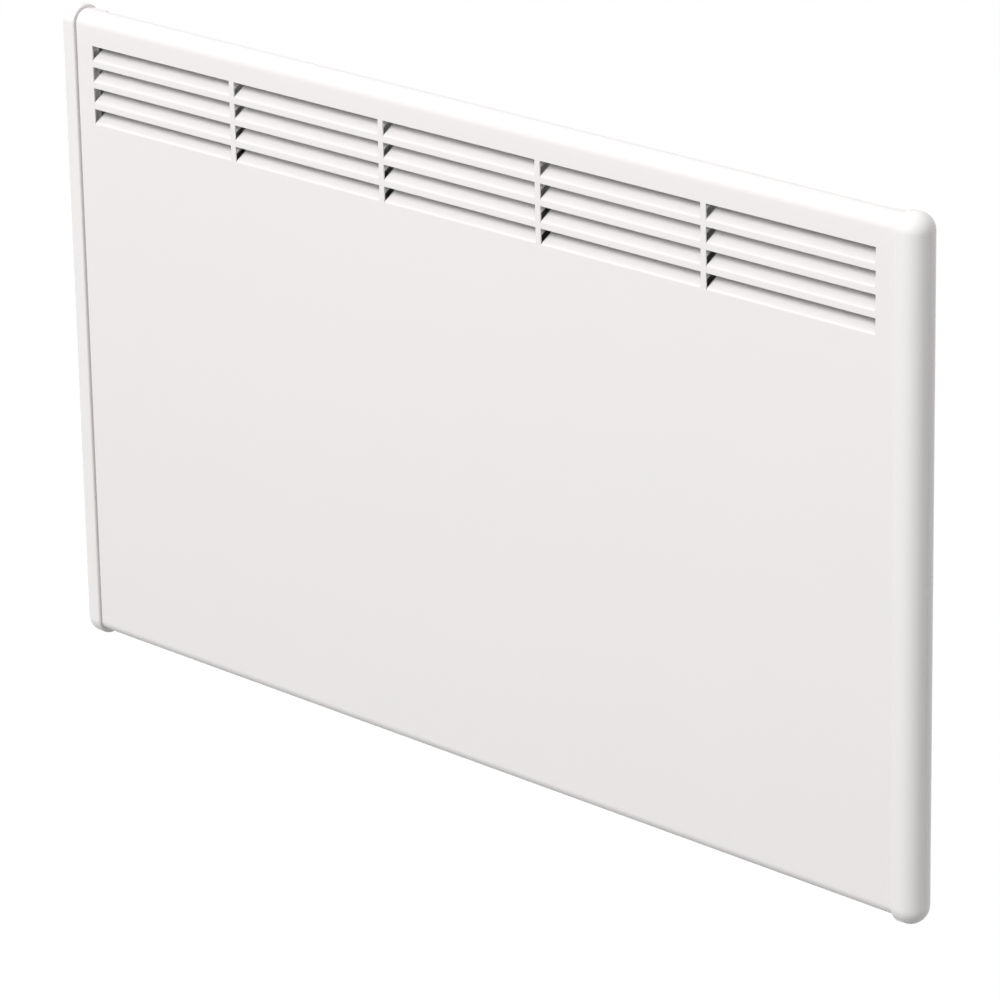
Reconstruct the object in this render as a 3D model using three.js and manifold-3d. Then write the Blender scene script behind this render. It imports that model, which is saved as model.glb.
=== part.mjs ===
// Wall panel convector heater, in millimetres, +Z up.
// The wall is the plane Y = 0 and the room lies towards -Y. X runs along the heater.
// The origin is the middle of the wall bracket's back face.
// A white steel front cover with pressed louvres slides between two moulded end caps. It closes a
// pressed steel rear housing that holds a finned heating element, its shields and the electronics.
// The housing hangs on the hooks of a steel wall bracket and is held down by two quarter-turn locks.

import * as THREE from 'three';
import { mergeVertices } from 'three/addons/utils/BufferGeometryUtils.js';
import { LoftGeometry } from 'three/addons/geometries/LoftGeometry.js';
import Module from 'manifold-3d';

const wasm = await Module();
wasm.setup();

// ---- Clearances -----------------------------------------------------------------------------
const seat = 0.3; // between two pieces that rest on each other
const fit = 0.3; // around a shank, stem or edge in its hole
const over = 1; // how far a cutter or a joined solid runs past the face it meets

// ---- Overall form ---------------------------------------------------------------------------
const coverWidth = 648.4;
const coverHeight = 394.2;
const totalDepth = 55;
const shellDepth = 17.2; // front face to rear lips
const coverSheet = 0.8;
const coverBottomRadius = 6.4;
const lipHeight = 10;
const lipRadius = 2;

// ---- Louvres of the front cover -------------------------------------------------------------
const louvreColumns = 5;
const louvreRows = 4;
const louvreMullion = 4; // sheet left between two columns
const louvreSideMargin = 13.7; // cover end to the first column
const louvreRail = 3.43; // sheet left between two rows
const louvreHeight = 9.5;
const firstRowDrop = 19.4; // cover top to the first row's upper edge
const bladeRise = 33; // degrees above level
const bladeReach = 10.2; // how far a blade runs back
const bladeSheet = 0.74; // the pressed blade draws slightly thinner
const bladeBend = 1.2;
const lanceGap = 0.3;

// ---- End caps -------------------------------------------------------------------------------
const capWidth = 15.25;
const capDepth = 21.5;
const capProudFront = 1.8;
const capProudTop = 2.07;
const capProudBottom = 3.63;
const capCornerRadius = 10.6;
const capOuterRadius = 9.8;
const capInnerRadius = 1.5;
const capEndRadius = 0.8; // corner radius of the rings that are drawn in furthest
const capWall = 2;
const capRimDepth = 2;
const capGap = 0.85; // shadow gap between cover and cap
const spigotLength = 9;
const spigotWall = 1.6;
const earHeight = 9;
const earReach = 12;
const earDepth = 9;
const earInset = 34; // cap end to ear
const earRoot = 6; // how far the ear's root runs into the cap
const earScrewInset = 4.5; // ear tip to screw axis

// ---- Rear housing ---------------------------------------------------------------------------
const wallGap = 12; // wall to the housing's back
const housingSheet = 0.8;
const housingInset = 16.2; // cover end to housing side
const housingTopDrop = 20;
const housingBottomRise = 14;
const housingCorner = 8;
const housingBackBend = 3;
const flangeSide = 14.5;
const flangeLap = 11; // flange beyond the housing at top and bottom
const flangeCorner = 3;
const intakeSlotWidth = 5;
const intakeSlotPitch = 12;
const intakeSlotMargin = 3.5; // slot end to flange and to back bend
const intakeInset = 24; // housing side to the first slot

// ---- Screws ---------------------------------------------------------------------------------
const screwShankRadius = 1.5;
const screwHeadRadius = 3;
const screwHeadHeight = 2.2;
const screwCrown = 0.7; // the head's top against its rim
const screwLength = 8;
const screwRecess = 1.2;
const coverScrews = 3;
const coverScrewPitch = 240;
const coverScrewRise = 6.2; // cover bottom to screw axis

// ---- Wall bracket ---------------------------------------------------------------------------
const bracketSheet = 1.5;
const bracketBend = 1.5;
const uprightWidth = 28;
const uprightSpacing = 300;
const railHeight = 50;
const railFlange = 8;
const hookDrop = 68; // housing top to hook arm
const hookHeight = 8;
const hookWidth = 18;
const hookBend = 0.5;
const hookPlay = 0.6;
const hookSlotPlay = 3; // to either side of the hook
const hookSlotHeight = 10;
const wallHoleRadius = 3.25;
const wallHoleInset = 26;
const railHoleSpacing = 160;
const railHoleLength = 14;

// ---- Bracket locks --------------------------------------------------------------------------
const lockRise = 54.6; // housing bottom to the lock's shelf
const lockShaftRadius = 3;
const lockShaftOffset = 6; // wall to shaft
const lockBossRadius = 4;
const lockHeadRadius = 4.8;
const lockHeadHeight = 5;
const lockHeadEdge = 0.8;
const lockTongueReach = 12;
const lockTongueWidth = 7;
const lockTongueThick = 2.5;
const lockTongueCorner = 2.1;
const lockSlotHeight = 5.4;
const lockSlotPlay = 1.5; // beside the tongue, and twice that at its end
const lockSlotDrop = 1.2; // slot's lower edge to the tongue
const driverSlotWidth = 1.4;
const driverSlotDepth = 1.8;

// ---- Rubber wall bumpers --------------------------------------------------------------------
const bumperRadius = 7;
const bumperTipRadius = 5;
const bumperRim = 2;
const bumperNeckRadius = 2.6;
const bumperBarbRadius = 4;
const bumperBarbLength = 3;
const bumperBarbTip = 1.56;
const bumperSideInset = 28;
const bumperRise = 44; // above the housing bottom, clear of the control module

// ---- Heating element and its carriers -------------------------------------------------------
const elementRise = 97.6; // housing bottom to element axis
const elementEndInset = 42.5; // housing side to bracket web
const rodRadius = 4;
const rodOverhang = 19; // beyond the bracket web
const studRadius = 1.8;
const studLength = 10;
const collarWall = 1.2;
const finHeight = 44;
const finDepth = 24;
const finThick = 0.6;
const finPitch = 20;
const finEndGap = 6;
const holderSheet = 1;
const holderHeight = 50;
const holderFoot = 14;
const holderBend = 1.2;
const bushShankRadius = 7;
const bushFlangeRadius = 10;
const bushFlangeThick = 2;
const bushShankLength = 4;
const bushEdge = 0.8;
const beadRadius = 4.6;
const beadLength = 4;
const beadTaper = 1.5;
const beadLip = 0.8;

// ---- Heat shields ---------------------------------------------------------------------------
const shieldSheet = 0.5;
const shieldBend = 1;
const rearShieldStandoff = 4.5;
const rearShieldLow = 64.6; // above the housing bottom
const rearShieldHigh = 222;
const rearShieldPlay = 2; // to each holder
const frontShieldStandoff = 3.2; // behind the cover's inner face
const frontShieldLow = 58;
const frontShieldHigh = 282;
const frontShieldTurn = 8;

// ---- Safety cut-out -------------------------------------------------------------------------
const cutoutFlangeRadius = 11;
const cutoutFlangeThick = 1.2;
const cutoutRadius = 8;
const cutoutHeight = 9;
const cutoutRise = 142; // above the housing bottom
const cutoutInset = 124; // cover end to its axis
const tabSpacing = 12;
const tabWidth = 4.8;
const tabThick = 0.8;
const tabLength = 6;

// ---- Control module -------------------------------------------------------------------------
const projectorInset = 59.7; // cover end to projector axis
const sensorOffset = 28.5; // each offset is measured from the projector axis
const modeOffset = 50.5;
const buttonPitch = 18;
const rockerOffset = 118.5;
const moduleEndMargin = 17.5;
const moduleStartMargin = 20;
const moduleHeight = 33;
const moduleSideGap = 2.05; // to the housing's back and to the flange's plane
const moduleWall = 1.6;
const moduleFlange = 1.8;
const moduleFlangeLap = 3;
const moduleFlangeLapSide = 1.2;
const moduleCorner = 2.5;
const boardHeight = 15.5; // above the module floor
const boardThick = 1.6;
const boardMargin = 0.8;
const boardToRocker = 6; // to the rocker's frame
const boardToBarrel = 3; // to the projector's barrel
const postRadius = 1.6;
const postInset = 3;
const postSides = 6;
const relayLength = 19;
const relaySideGap = 2.9; // to the module's walls
const relayHeight = 12;
const transformerLength = 22;
const transformerSideGap = 1.9;
const transformerHeight = 13;
const partCorner = 1;
const relayInset = 3; // board end to relay
const transformerInset = 4;

// ---- Push buttons ---------------------------------------------------------------------------
const buttonProud = 1.4;
const buttonTravel = 0.6;
const buttonLap = 1.6; // its inner flange beyond its face
const buttonFlangeThick = 1;
const buttonStemRadius = 2;
const buttonEdge = 0.5;
const buttonSides = 16;
const tactSize = 6;
const tactHeight = 3.5;
const tactPlungerRadius = 1.7;
const tactPlungerLength = 1.5;

// ---- Power rocker ---------------------------------------------------------------------------
const rockerLength = 17;
const rockerSideWall = 1.3; // the frame's wall beside the rocker
const rockerTilt = 10; // degrees to either side of level
const rockerEndDepth = 3.2;
const rockerMiddleDepth = 1.8;
const rockerCrown = 1.2;
const rockerBack = 0.7; // length of its flat back against its face
const rockerShoulder = 0.2;
const rockerRelief = 0.4; // bezel face to the rocker's middle
const rockerPinRadius = 1.2;
const rockerPinLength = 0.7;
const wellClearSide = 0.4;
const wellClearEnd = 0.8;
const wellDepth = 3; // above the pivot
const bezelLength = 23;
const bezelLap = 1.5; // bezel beyond the frame at its sides
const bezelThick = 1.5;
const bezelCorner = 1.5;
const bladeSpacing = 10; // between the switch's two blades
const frameLength = 19.4;
const frameSideGap = 2.4; // frame to the module's walls
const frameHeight = 16;

// ---- Projector ------------------------------------------------------------------------------
const barrelSideGap = 0.4; // to the module's walls
const barrelWall = 1.4;
const barrelHeight = 20;
const barrelLedgeWidth = 1.1;
const lensEdge = 1.6;
const lensCrown = 2.4;
const lensSeat = 3; // barrel foot to lens ledge
const maskSeat = 12;
const ledgeThick = 1;
const maskThick = 0.8;
const lampPlateThick = 1.6;
const lampDomeRadius = 2.5;
const windowLap = 0.7; // window beyond the barrel
const windowThick = 1.2;
const windowLip = 1.6;

// ---- Room sensor ----------------------------------------------------------------------------
const sensorRadius = 2.6;
const sensorDrop = 5;
const sensorHeadRadius = 4;
const sensorHeadThick = 1.2;
const sensorLegRadius = 1;
const sensorTipRadius = 1.8;
const sensorTipEdge = 0.4;
const sensorTipRise = 2.1;

// ---- Mains connection -----------------------------------------------------------------------
const glandOffset = 166.5; // projector axis to gland axis
const glandShankRadius = 6;
const glandFlangeRadius = 10;
const glandFlangeThick = 3;
const glandTail = 9;
const glandTailWall = 1.4;
const glandRootRadius = 7;
const glandEdge = 0.6;
const glandShankProud = 1; // beyond its nut
const glandBore = 4;
const glandNutAcross = 8.2; // axis to corner
const glandNutHeight = 4;
const blockLength = 28;
const blockDepth = 17;
const blockHeight = 14;
const blockRise = 14;
const blockWays = 3;
const blockScrewRadius = 2;
const blockScrewDepth = 6;
const blockCorner = 1;

// ---- Internal leads -------------------------------------------------------------------------
const leadRadius = 1.7;
const leadSides = 8;

// ---- Derived places -------------------------------------------------------------------------
const halfWidth = coverWidth / 2;
const capTop = (coverHeight + capProudTop + capProudBottom) / 2;
const coverTop = capTop - capProudTop;
const coverBottom = capProudBottom - capTop;
const capFront = -totalDepth;
const coverFront = capFront + capProudFront;
const coverInner = coverFront + coverSheet;
const coverRear = coverFront + shellDepth;
const housingHalf = halfWidth - housingInset;
const housingTop = coverTop - housingTopDrop;
const housingBottom = coverBottom + housingBottomRise;
const housingBack = -wallGap;
const housingInnerBack = housingBack - housingSheet;
const flangeRear = coverRear - coverSheet - seat;
const flangeFront = flangeRear - housingSheet;
const housingMidY = (flangeFront + housingInnerBack) / 2;
const projectorX = halfWidth - projectorInset;
const projectorY = housingMidY;
const moduleStart = projectorX - rockerOffset - moduleStartMargin;
const moduleEnd = projectorX + moduleEndMargin;
const moduleLowest = housingBottom - seat - moduleFlange;
const moduleFloor = housingBottom - seat + moduleWall - housingSheet;
const moduleTop = moduleFloor + moduleHeight;
const moduleY0 = flangeFront + moduleSideGap;
const moduleY1 = housingInnerBack - moduleSideGap;
const moduleRoom = moduleY1 - moduleY0 - 2 * moduleWall;
const relayDepth = moduleRoom - 2 * relaySideGap;
const transformerDepth = moduleRoom - 2 * transformerSideGap;
const buttonRadius = moduleRoom / 4;
const buttonFlangeRadius = buttonRadius + buttonLap;
const frameWidth = moduleRoom - 2 * frameSideGap;
const rockerWidth = frameWidth - 2 * rockerSideWall;
const bezelWidth = frameWidth + 2 * bezelLap;
const barrelRadius = moduleRoom / 2 - barrelSideGap;
const barrelBore = barrelRadius - barrelWall;
const barrelLedge = barrelBore - barrelLedgeWidth;
const lensRadius = barrelBore - fit;
const windowRadius = barrelRadius + windowLap;
const boardLow = moduleFloor + boardHeight;
const elementZ = housingBottom + elementRise;
const holderX = housingHalf - elementEndInset;
const frontShieldRear = coverInner + frontShieldStandoff + shieldSheet;
const rearShieldFront = housingInnerBack - seat - rearShieldStandoff;
const elementY = (frontShieldRear + rearShieldFront) / 2;
const hookZ = housingTop - hookDrop;
const lockShelfZ = housingBottom + lockRise;
const lockShaftY = -lockShaftOffset;
const lockTongueLow = lockShelfZ + bracketSheet / 2 + seat;
const uprightX = uprightSpacing / 2;
const louvreFieldWidth = coverWidth - 2 * louvreSideMargin;
const louvreColumnPitch = (louvreFieldWidth + louvreMullion) / louvreColumns;
const louvreLength = louvreColumnPitch - louvreMullion;
const louvreRowPitch = louvreHeight + louvreRail;
const degree = Math.PI / 180;

// ---- Finishes -------------------------------------------------------------------------------
function finish(color, roughness, metalness = 0) {
  return new THREE.MeshStandardMaterial({ color, roughness, metalness });
}
const whiteSteel = () => finish(0xedebe9, 0.45);
const whitePlastic = () => finish(0xf0eeec, 0.4);
const greyPlastic = () => finish(0x5b5e62, 0.55);
const blackPlastic = () => finish(0x1d1e20, 0.5);
const zincSteel = () => finish(0xb9bdc0, 0.38, 0.9);
const brightAluminium = () => finish(0xc9ccce, 0.32, 1);
const darkRubber = () => finish(0x26272a, 0.85);
const ceramicWhite = () => finish(0xe4ded2, 0.6);
const clearLens = () => finish(0xdfe8ec, 0.08);
const boardGreen = () => finish(0x2c6b46, 0.5);
const wireBlue = () => finish(0x2f5fa8, 0.45);
const wireBrown = () => finish(0x6b4630, 0.45);

// ---- Solids ---------------------------------------------------------------------------------
function toSolid(geometry) {
  const bare = new THREE.BufferGeometry();
  bare.setAttribute('position', geometry.getAttribute('position'));
  bare.setIndex(geometry.index);
  const merged = mergeVertices(bare, 1e-4);
  return new wasm.Manifold(new wasm.Mesh({
    numProp: 3,
    vertProperties: new Float32Array(merged.attributes.position.array),
    triVerts: new Uint32Array(merged.index.array),
  }));
}

function toGeometry(solid) {
  const mesh = solid.getMesh();
  const geometry = new THREE.BufferGeometry();
  geometry.setAttribute('position', new THREE.BufferAttribute(mesh.vertProperties, 3));
  geometry.setIndex(new THREE.BufferAttribute(mesh.triVerts, 1));
  geometry.computeVertexNormals();
  return geometry;
}

// Joins the first list of geometries and cuts every geometry of the second list from the result.
function shape(added, removed = []) {
  let solid = toSolid(added[0]);
  for (const geometry of added.slice(1)) {
    solid = solid.add(toSolid(geometry));
  }
  for (const geometry of removed) {
    solid = solid.subtract(toSolid(geometry));
  }
  return toGeometry(solid);
}

// ---- Outlines and extrusions ----------------------------------------------------------------
function rectangle(a0, b0, a1, b1, radius = 0) {
  const outline = new THREE.Shape();
  if (radius === 0) {
    outline.moveTo(a0, b0).lineTo(a1, b0).lineTo(a1, b1).lineTo(a0, b1);
    return outline;
  }
  outline.absarc(a1 - radius, b0 + radius, radius, -Math.PI / 2, 0, false);
  outline.absarc(a1 - radius, b1 - radius, radius, 0, Math.PI / 2, false);
  outline.absarc(a0 + radius, b1 - radius, radius, Math.PI / 2, Math.PI, false);
  outline.absarc(a0 + radius, b0 + radius, radius, Math.PI, 1.5 * Math.PI, false);
  return outline;
}

function circle(a, b, radius) {
  return new THREE.Shape().absarc(a, b, radius, 0, 2 * Math.PI, false);
}

function extrude(outline, length, curveSegments) {
  return new THREE.ExtrudeGeometry(outline, { depth: length, bevelEnabled: false, curveSegments });
}

// The outline is drawn in Y and Z and runs along X.
function alongX(outline, x0, x1, curveSegments = 4) {
  const turn = new THREE.Matrix4().makeBasis(
    new THREE.Vector3(0, 1, 0),
    new THREE.Vector3(0, 0, 1),
    new THREE.Vector3(1, 0, 0),
  );
  return extrude(outline, x1 - x0, curveSegments).applyMatrix4(turn).translate(x0, 0, 0);
}

// The outline is drawn in X and Z and runs along Y.
function alongY(outline, y0, y1, curveSegments = 4) {
  return extrude(outline, y1 - y0, curveSegments).rotateX(Math.PI / 2).translate(0, y1, 0);
}

// The outline is drawn in X and Y and runs along Z.
function alongZ(outline, z0, z1, curveSegments = 4) {
  return extrude(outline, z1 - z0, curveSegments).translate(0, 0, z0);
}

function box(x0, x1, y0, y1, z0, z1) {
  const geometry = new THREE.BoxGeometry(x1 - x0, y1 - y0, z1 - z0);
  return geometry.translate((x0 + x1) / 2, (y0 + y1) / 2, (z0 + z1) / 2);
}

// A closed profile of [radius, height] pairs, counterclockwise, turned about its own axis.
function turned(profile, sides) {
  const points = profile.map(([radius, height]) => new THREE.Vector2(radius, height));
  points.push(points[0].clone());
  return new THREE.LatheGeometry(points, sides);
}

const turnedAboutX = (profile, y, z, sides = 12) =>
  turned(profile, sides).rotateZ(-Math.PI / 2).translate(0, y, z);
const turnedAboutY = (profile, x, z, sides = 12) => turned(profile, sides).translate(x, 0, z);
const turnedAboutZ = (profile, x, y, sides = 12) =>
  turned(profile, sides).rotateX(Math.PI / 2).translate(x, y, 0);

// A plain round bar: its profile for the three functions above.
const bar = (radius, low, high) => [[0, low], [radius, low], [radius, high], [0, high]];

// The outline of a sheet of constant thickness, folded along a line of corners. Each inner corner
// has a bend radius, measured at the middle of the sheet.
function foldedSheet(corners, thickness, bends, arcSteps = 4) {
  const points = corners.map(([a, b]) => new THREE.Vector2(a, b));
  const middle = [];
  const addPoint = (point, normal) => middle.push({ point, normal });
  const leftOf = (direction) => new THREE.Vector2(-direction.y, direction.x);
  const first = points[1].clone().sub(points[0]).normalize();
  addPoint(points[0], leftOf(first));
  for (let i = 1; i < points.length - 1; i += 1) {
    const before = points[i].clone().sub(points[i - 1]).normalize();
    const after = points[i + 1].clone().sub(points[i]).normalize();
    const turn = Math.atan2(before.cross(after), before.dot(after));
    const radius = Array.isArray(bends) ? bends[i - 1] : bends;
    const setback = radius * Math.tan(Math.abs(turn) / 2);
    const start = points[i].clone().addScaledVector(before, -setback);
    const inward = leftOf(before).multiplyScalar(Math.sign(turn));
    const centre = start.clone().addScaledVector(inward, radius);
    for (let step = 0; step <= arcSteps; step += 1) {
      const angle = (turn * step) / arcSteps;
      const spoke = start.clone().sub(centre).rotateAround(new THREE.Vector2(), angle);
      const normal = leftOf(before).rotateAround(new THREE.Vector2(), angle);
      addPoint(centre.clone().add(spoke), normal);
    }
  }
  const end = points.length - 1;
  const last = points[end].clone().sub(points[end - 1]).normalize();
  addPoint(points[end], leftOf(last));
  const spaced = middle.filter(
    (here, i) => i === 0 || here.point.distanceTo(middle[i - 1].point) > 1e-3,
  );
  const side = (sign) => spaced.map(
    ({ point, normal }) => point.clone().addScaledVector(normal, (sign * thickness) / 2),
  );
  return new THREE.Shape([...side(-1), ...side(1).reverse()]);
}

// The points of a rounded rectangle, counterclockwise, each passed to place(a, b).
function roundedRing(a0, a1, b0, b1, radius, place, cornerSteps = 4) {
  const centres = [
    [a1 - radius, b0 + radius, -90],
    [a1 - radius, b1 - radius, 0],
    [a0 + radius, b1 - radius, 90],
    [a0 + radius, b0 + radius, 180],
  ];
  const ring = [];
  for (const [a, b, start] of centres) {
    for (let step = 0; step <= cornerSteps; step += 1) {
      const angle = (start + (90 * step) / cornerSteps) * degree;
      ring.push(place(a + radius * Math.cos(angle), b + radius * Math.sin(angle)));
    }
  }
  return ring;
}

// ---- The exported group ---------------------------------------------------------------------
const heater = new THREE.Group();

function addPiece(name, geometry, material) {
  const mesh = new THREE.Mesh(geometry, material);
  mesh.name = name;
  heater.add(mesh);
  return mesh;
}

// A piece drawn for the right-hand side and its mirror image for the left.
function addPair(name, geometry, material) {
  addPiece(`${name}_right`, geometry, material());
  addPiece(`${name}_left`, geometry.clone(), material()).scale.x = -1;
}

// ---- Front cover ----------------------------------------------------------------------------
const rowTop = (row) => coverTop - firstRowDrop - row * louvreRowPitch;
const columnStart = (column) =>
  (column - (louvreColumns - 1) / 2) * louvreColumnPitch - louvreLength / 2;

function coverSection() {
  const front = coverFront + coverSheet / 2;
  const rear = coverRear - coverSheet / 2;
  const top = coverTop - coverSheet / 2;
  const bottom = coverBottom + coverSheet / 2;
  const bullnose = (rear - front) / 2;
  return foldedSheet(
    [
      [rear, coverTop - shellDepth / 2 - lipHeight],
      [rear, top],
      [front, top],
      [front, bottom],
      [rear, bottom],
      [rear, coverBottom + lipHeight],
    ],
    coverSheet,
    [bullnose, bullnose, coverBottomRadius - coverSheet / 2, lipRadius],
    6,
  );
}

// One blade, lanced on three sides and bent back from the lower edge of its opening.
function louvreBlade(column, row) {
  const lower = rowTop(row) - louvreHeight;
  const middle = coverFront + coverSheet / 2;
  const setback = bladeBend * Math.tan(((90 - bladeRise) / 2) * degree);
  const corner = lower + setback;
  const section = foldedSheet(
    [
      [middle, lower - coverSheet],
      [middle, corner],
      [middle + bladeReach, corner + bladeReach * Math.tan(bladeRise * degree)],
    ],
    bladeSheet,
    bladeBend,
    2,
  );
  const start = columnStart(column);
  return alongX(section, start + lanceGap, start + louvreLength - lanceGap);
}

function screwPassage(x, z, y0, y1) {
  return turnedAboutY(bar(screwShankRadius + fit, y0, y1), x, z, 8);
}

const coverScrewX = (index) => (index - (coverScrews - 1) / 2) * coverScrewPitch;
const coverScrewZ = coverBottom + coverScrewRise;

function frontCover() {
  const openings = [];
  const blades = [];
  for (let column = 0; column < louvreColumns; column += 1) {
    for (let row = 0; row < louvreRows; row += 1) {
      const x = columnStart(column);
      const top = rowTop(row);
      openings.push(
        box(x, x + louvreLength, coverFront - over, coverInner + over, top - louvreHeight, top),
      );
      blades.push(louvreBlade(column, row));
    }
  }
  for (let index = 0; index < coverScrews; index += 1) {
    openings.push(screwPassage(coverScrewX(index), coverScrewZ, flangeRear, coverRear + over));
  }
  const pierced = shape([alongX(coverSection(), -halfWidth, halfWidth)], openings);
  return shape([pierced, ...blades]);
}

addPiece('front_cover', frontCover(), whiteSteel());

// ---- End caps -------------------------------------------------------------------------------
const capStart = halfWidth + capGap;
const capEnd = capStart + capWidth;
const capRear = capFront + capDepth;
const earZ = capTop - earInset;
const earFront = flangeFront - seat - earDepth;

// A section of the cap across X, drawn in from the outer skin by inset.
function capRing(x, inset) {
  const radius = Math.max(capCornerRadius - inset, capEndRadius);
  return roundedRing(
    capFront + inset,
    capRear - inset,
    -capTop + inset,
    capTop - inset,
    radius,
    (y, z) => new THREE.Vector3(x, y, z),
    5,
  );
}

function capBody() {
  const rings = [];
  const innerSteps = 2;
  const outerSteps = 5;
  for (let step = 0; step <= innerSteps; step += 1) {
    const angle = (90 * step * degree) / innerSteps;
    const x = capStart + capInnerRadius * (1 - Math.cos(angle));
    rings.push(capRing(x, capInnerRadius * (1 - Math.sin(angle))));
  }
  for (let step = 0; step <= outerSteps; step += 1) {
    const angle = (90 * step * degree) / outerSteps;
    const x = capEnd - capOuterRadius * (1 - Math.sin(angle));
    rings.push(capRing(x, capOuterRadius * (1 - Math.cos(angle))));
  }
  return new LoftGeometry(rings, { capStart: true, capEnd: true });
}

// The hollow follows the outer skin, one wall inside it.
function capHollow() {
  const rings = [];
  const steps = 2;
  const radius = capOuterRadius - capWall;
  rings.push(capRing(capStart + capRimDepth, capWall));
  for (let step = 0; step <= steps; step += 1) {
    const angle = (90 * step * degree) / steps;
    const x = capEnd - capWall - radius * (1 - Math.sin(angle));
    rings.push(capRing(x, capWall + radius * (1 - Math.cos(angle))));
  }
  return new LoftGeometry(rings, { capStart: true, capEnd: true });
}

// The outline of the cover's inside, drawn in by inset, open towards the wall.
function spigotOutline(inset) {
  const front = coverInner + inset;
  const top = coverTop - coverSheet - inset;
  const bottom = coverBottom + coverSheet + inset;
  const topRadius = shellDepth / 2 - coverSheet - inset;
  const bottomRadius = coverBottomRadius - coverSheet - inset;
  const rear = flangeFront - seat + (inset - fit);
  const outline = new THREE.Shape();
  outline.moveTo(rear, top);
  outline.absarc(front + topRadius, top - topRadius, topRadius, Math.PI / 2, Math.PI, false);
  outline.absarc(front + bottomRadius, bottom + bottomRadius, bottomRadius, Math.PI, 1.5 * Math.PI, false);
  outline.lineTo(rear, bottom);
  return outline;
}

// The ear stands inside the shell and takes a screw that comes through the housing's flange.
function capEar(z) {
  const x = halfWidth - earReach;
  const y1 = flangeFront - seat;
  return shape([
    box(x, capStart + capRimDepth + over, earFront, y1, z - earHeight / 2, z + earHeight / 2),
    box(
      capStart + capRimDepth / 2,
      capStart + earRoot,
      earFront,
      capRear - capWall / 2,
      z - earHeight / 2,
      z + earHeight / 2,
    ),
  ]);
}

const capScrewX = halfWidth - earReach + earScrewInset;

function endCap() {
  const lining = coverSheet + fit + spigotWall;
  const rimHole = alongX(
    rectangle(
      coverFront + lining,
      coverBottom + lining,
      capRear - capWall,
      coverTop - lining,
      shellDepth / 2 - lining,
    ),
    capStart - over,
    capStart + capRimDepth + over,
    2,
  );
  const spigot = shape(
    [alongX(spigotOutline(fit), halfWidth - spigotLength, capStart + over)],
    [alongX(spigotOutline(fit + spigotWall), halfWidth - spigotLength - over, capStart + 2 * over)],
  );
  const hollow = shape([capBody()], [capHollow(), rimHole]);
  const passages = [earZ, -earZ].map((z) => screwPassage(capScrewX, z, earFront + over, flangeFront));
  return shape([hollow, spigot, capEar(earZ), capEar(-earZ)], passages);
}

addPair('end_cap', endCap(), whitePlastic);

// ---- Rear housing ---------------------------------------------------------------------------
// A section of the housing across Y, grown by grow on all four sides.
function housingRing(y, grow, radius) {
  return roundedRing(
    -housingHalf - grow,
    housingHalf + grow,
    housingBottom - grow,
    housingTop + grow,
    radius,
    (x, z) => new THREE.Vector3(x, y, z),
  );
}

// The pressed tray as a loft towards the front, closed at both ends.
function housingLoft(back, front, grow) {
  const rings = [];
  const bend = housingBackBend + grow;
  const steps = 3;
  for (let step = 0; step <= steps; step += 1) {
    const angle = (90 * step * degree) / steps;
    const inset = bend * (1 - Math.sin(angle));
    const y = back - bend * (1 - Math.cos(angle));
    rings.push(housingRing(y, grow - inset, housingCorner + grow - inset));
  }
  rings.push(housingRing(front, grow, housingCorner + grow));
  return new LoftGeometry(rings, { capStart: true, capEnd: true });
}

const slotY0 = flangeRear + intakeSlotMargin;
const slotY1 = housingBack - housingBackBend - intakeSlotMargin;

function intakeSlots() {
  const slots = [];
  const start = -housingHalf + intakeInset;
  const end = projectorX - glandOffset - glandFlangeRadius - intakeSlotPitch;
  const count = Math.floor((end - start) / intakeSlotPitch);
  for (let i = 0; i < count; i += 1) {
    const x = start + i * intakeSlotPitch;
    slots.push(
      box(x, x + intakeSlotWidth, slotY0, slotY1, housingBottom - over, housingBottom + 2 * over),
    );
  }
  return slots;
}

function hookSlot(side) {
  const x = side * uprightX;
  const half = hookWidth / 2 + hookSlotPlay;
  const top = hookZ + bracketSheet / 2 + seat;
  return box(
    x - half,
    x + half,
    housingInnerBack - over,
    housingBack + over,
    top - hookSlotHeight,
    top,
  );
}

// The slot is wide enough for the tongue to swing out of it towards the housing's end.
function lockSlot(side) {
  const inner = side * (uprightX - lockTongueWidth / 2 - lockSlotPlay);
  const outer = side * (uprightX + lockTongueReach + 2 * lockSlotPlay);
  const low = lockTongueLow - lockSlotDrop;
  return box(
    Math.min(inner, outer),
    Math.max(inner, outer),
    housingInnerBack - over,
    housingBack + over,
    low,
    low + lockSlotHeight,
  );
}

const glandX = projectorX - glandOffset;
const bumperX = housingHalf - bumperSideInset;
const bumperZ = housingBottom + bumperRise;

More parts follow.
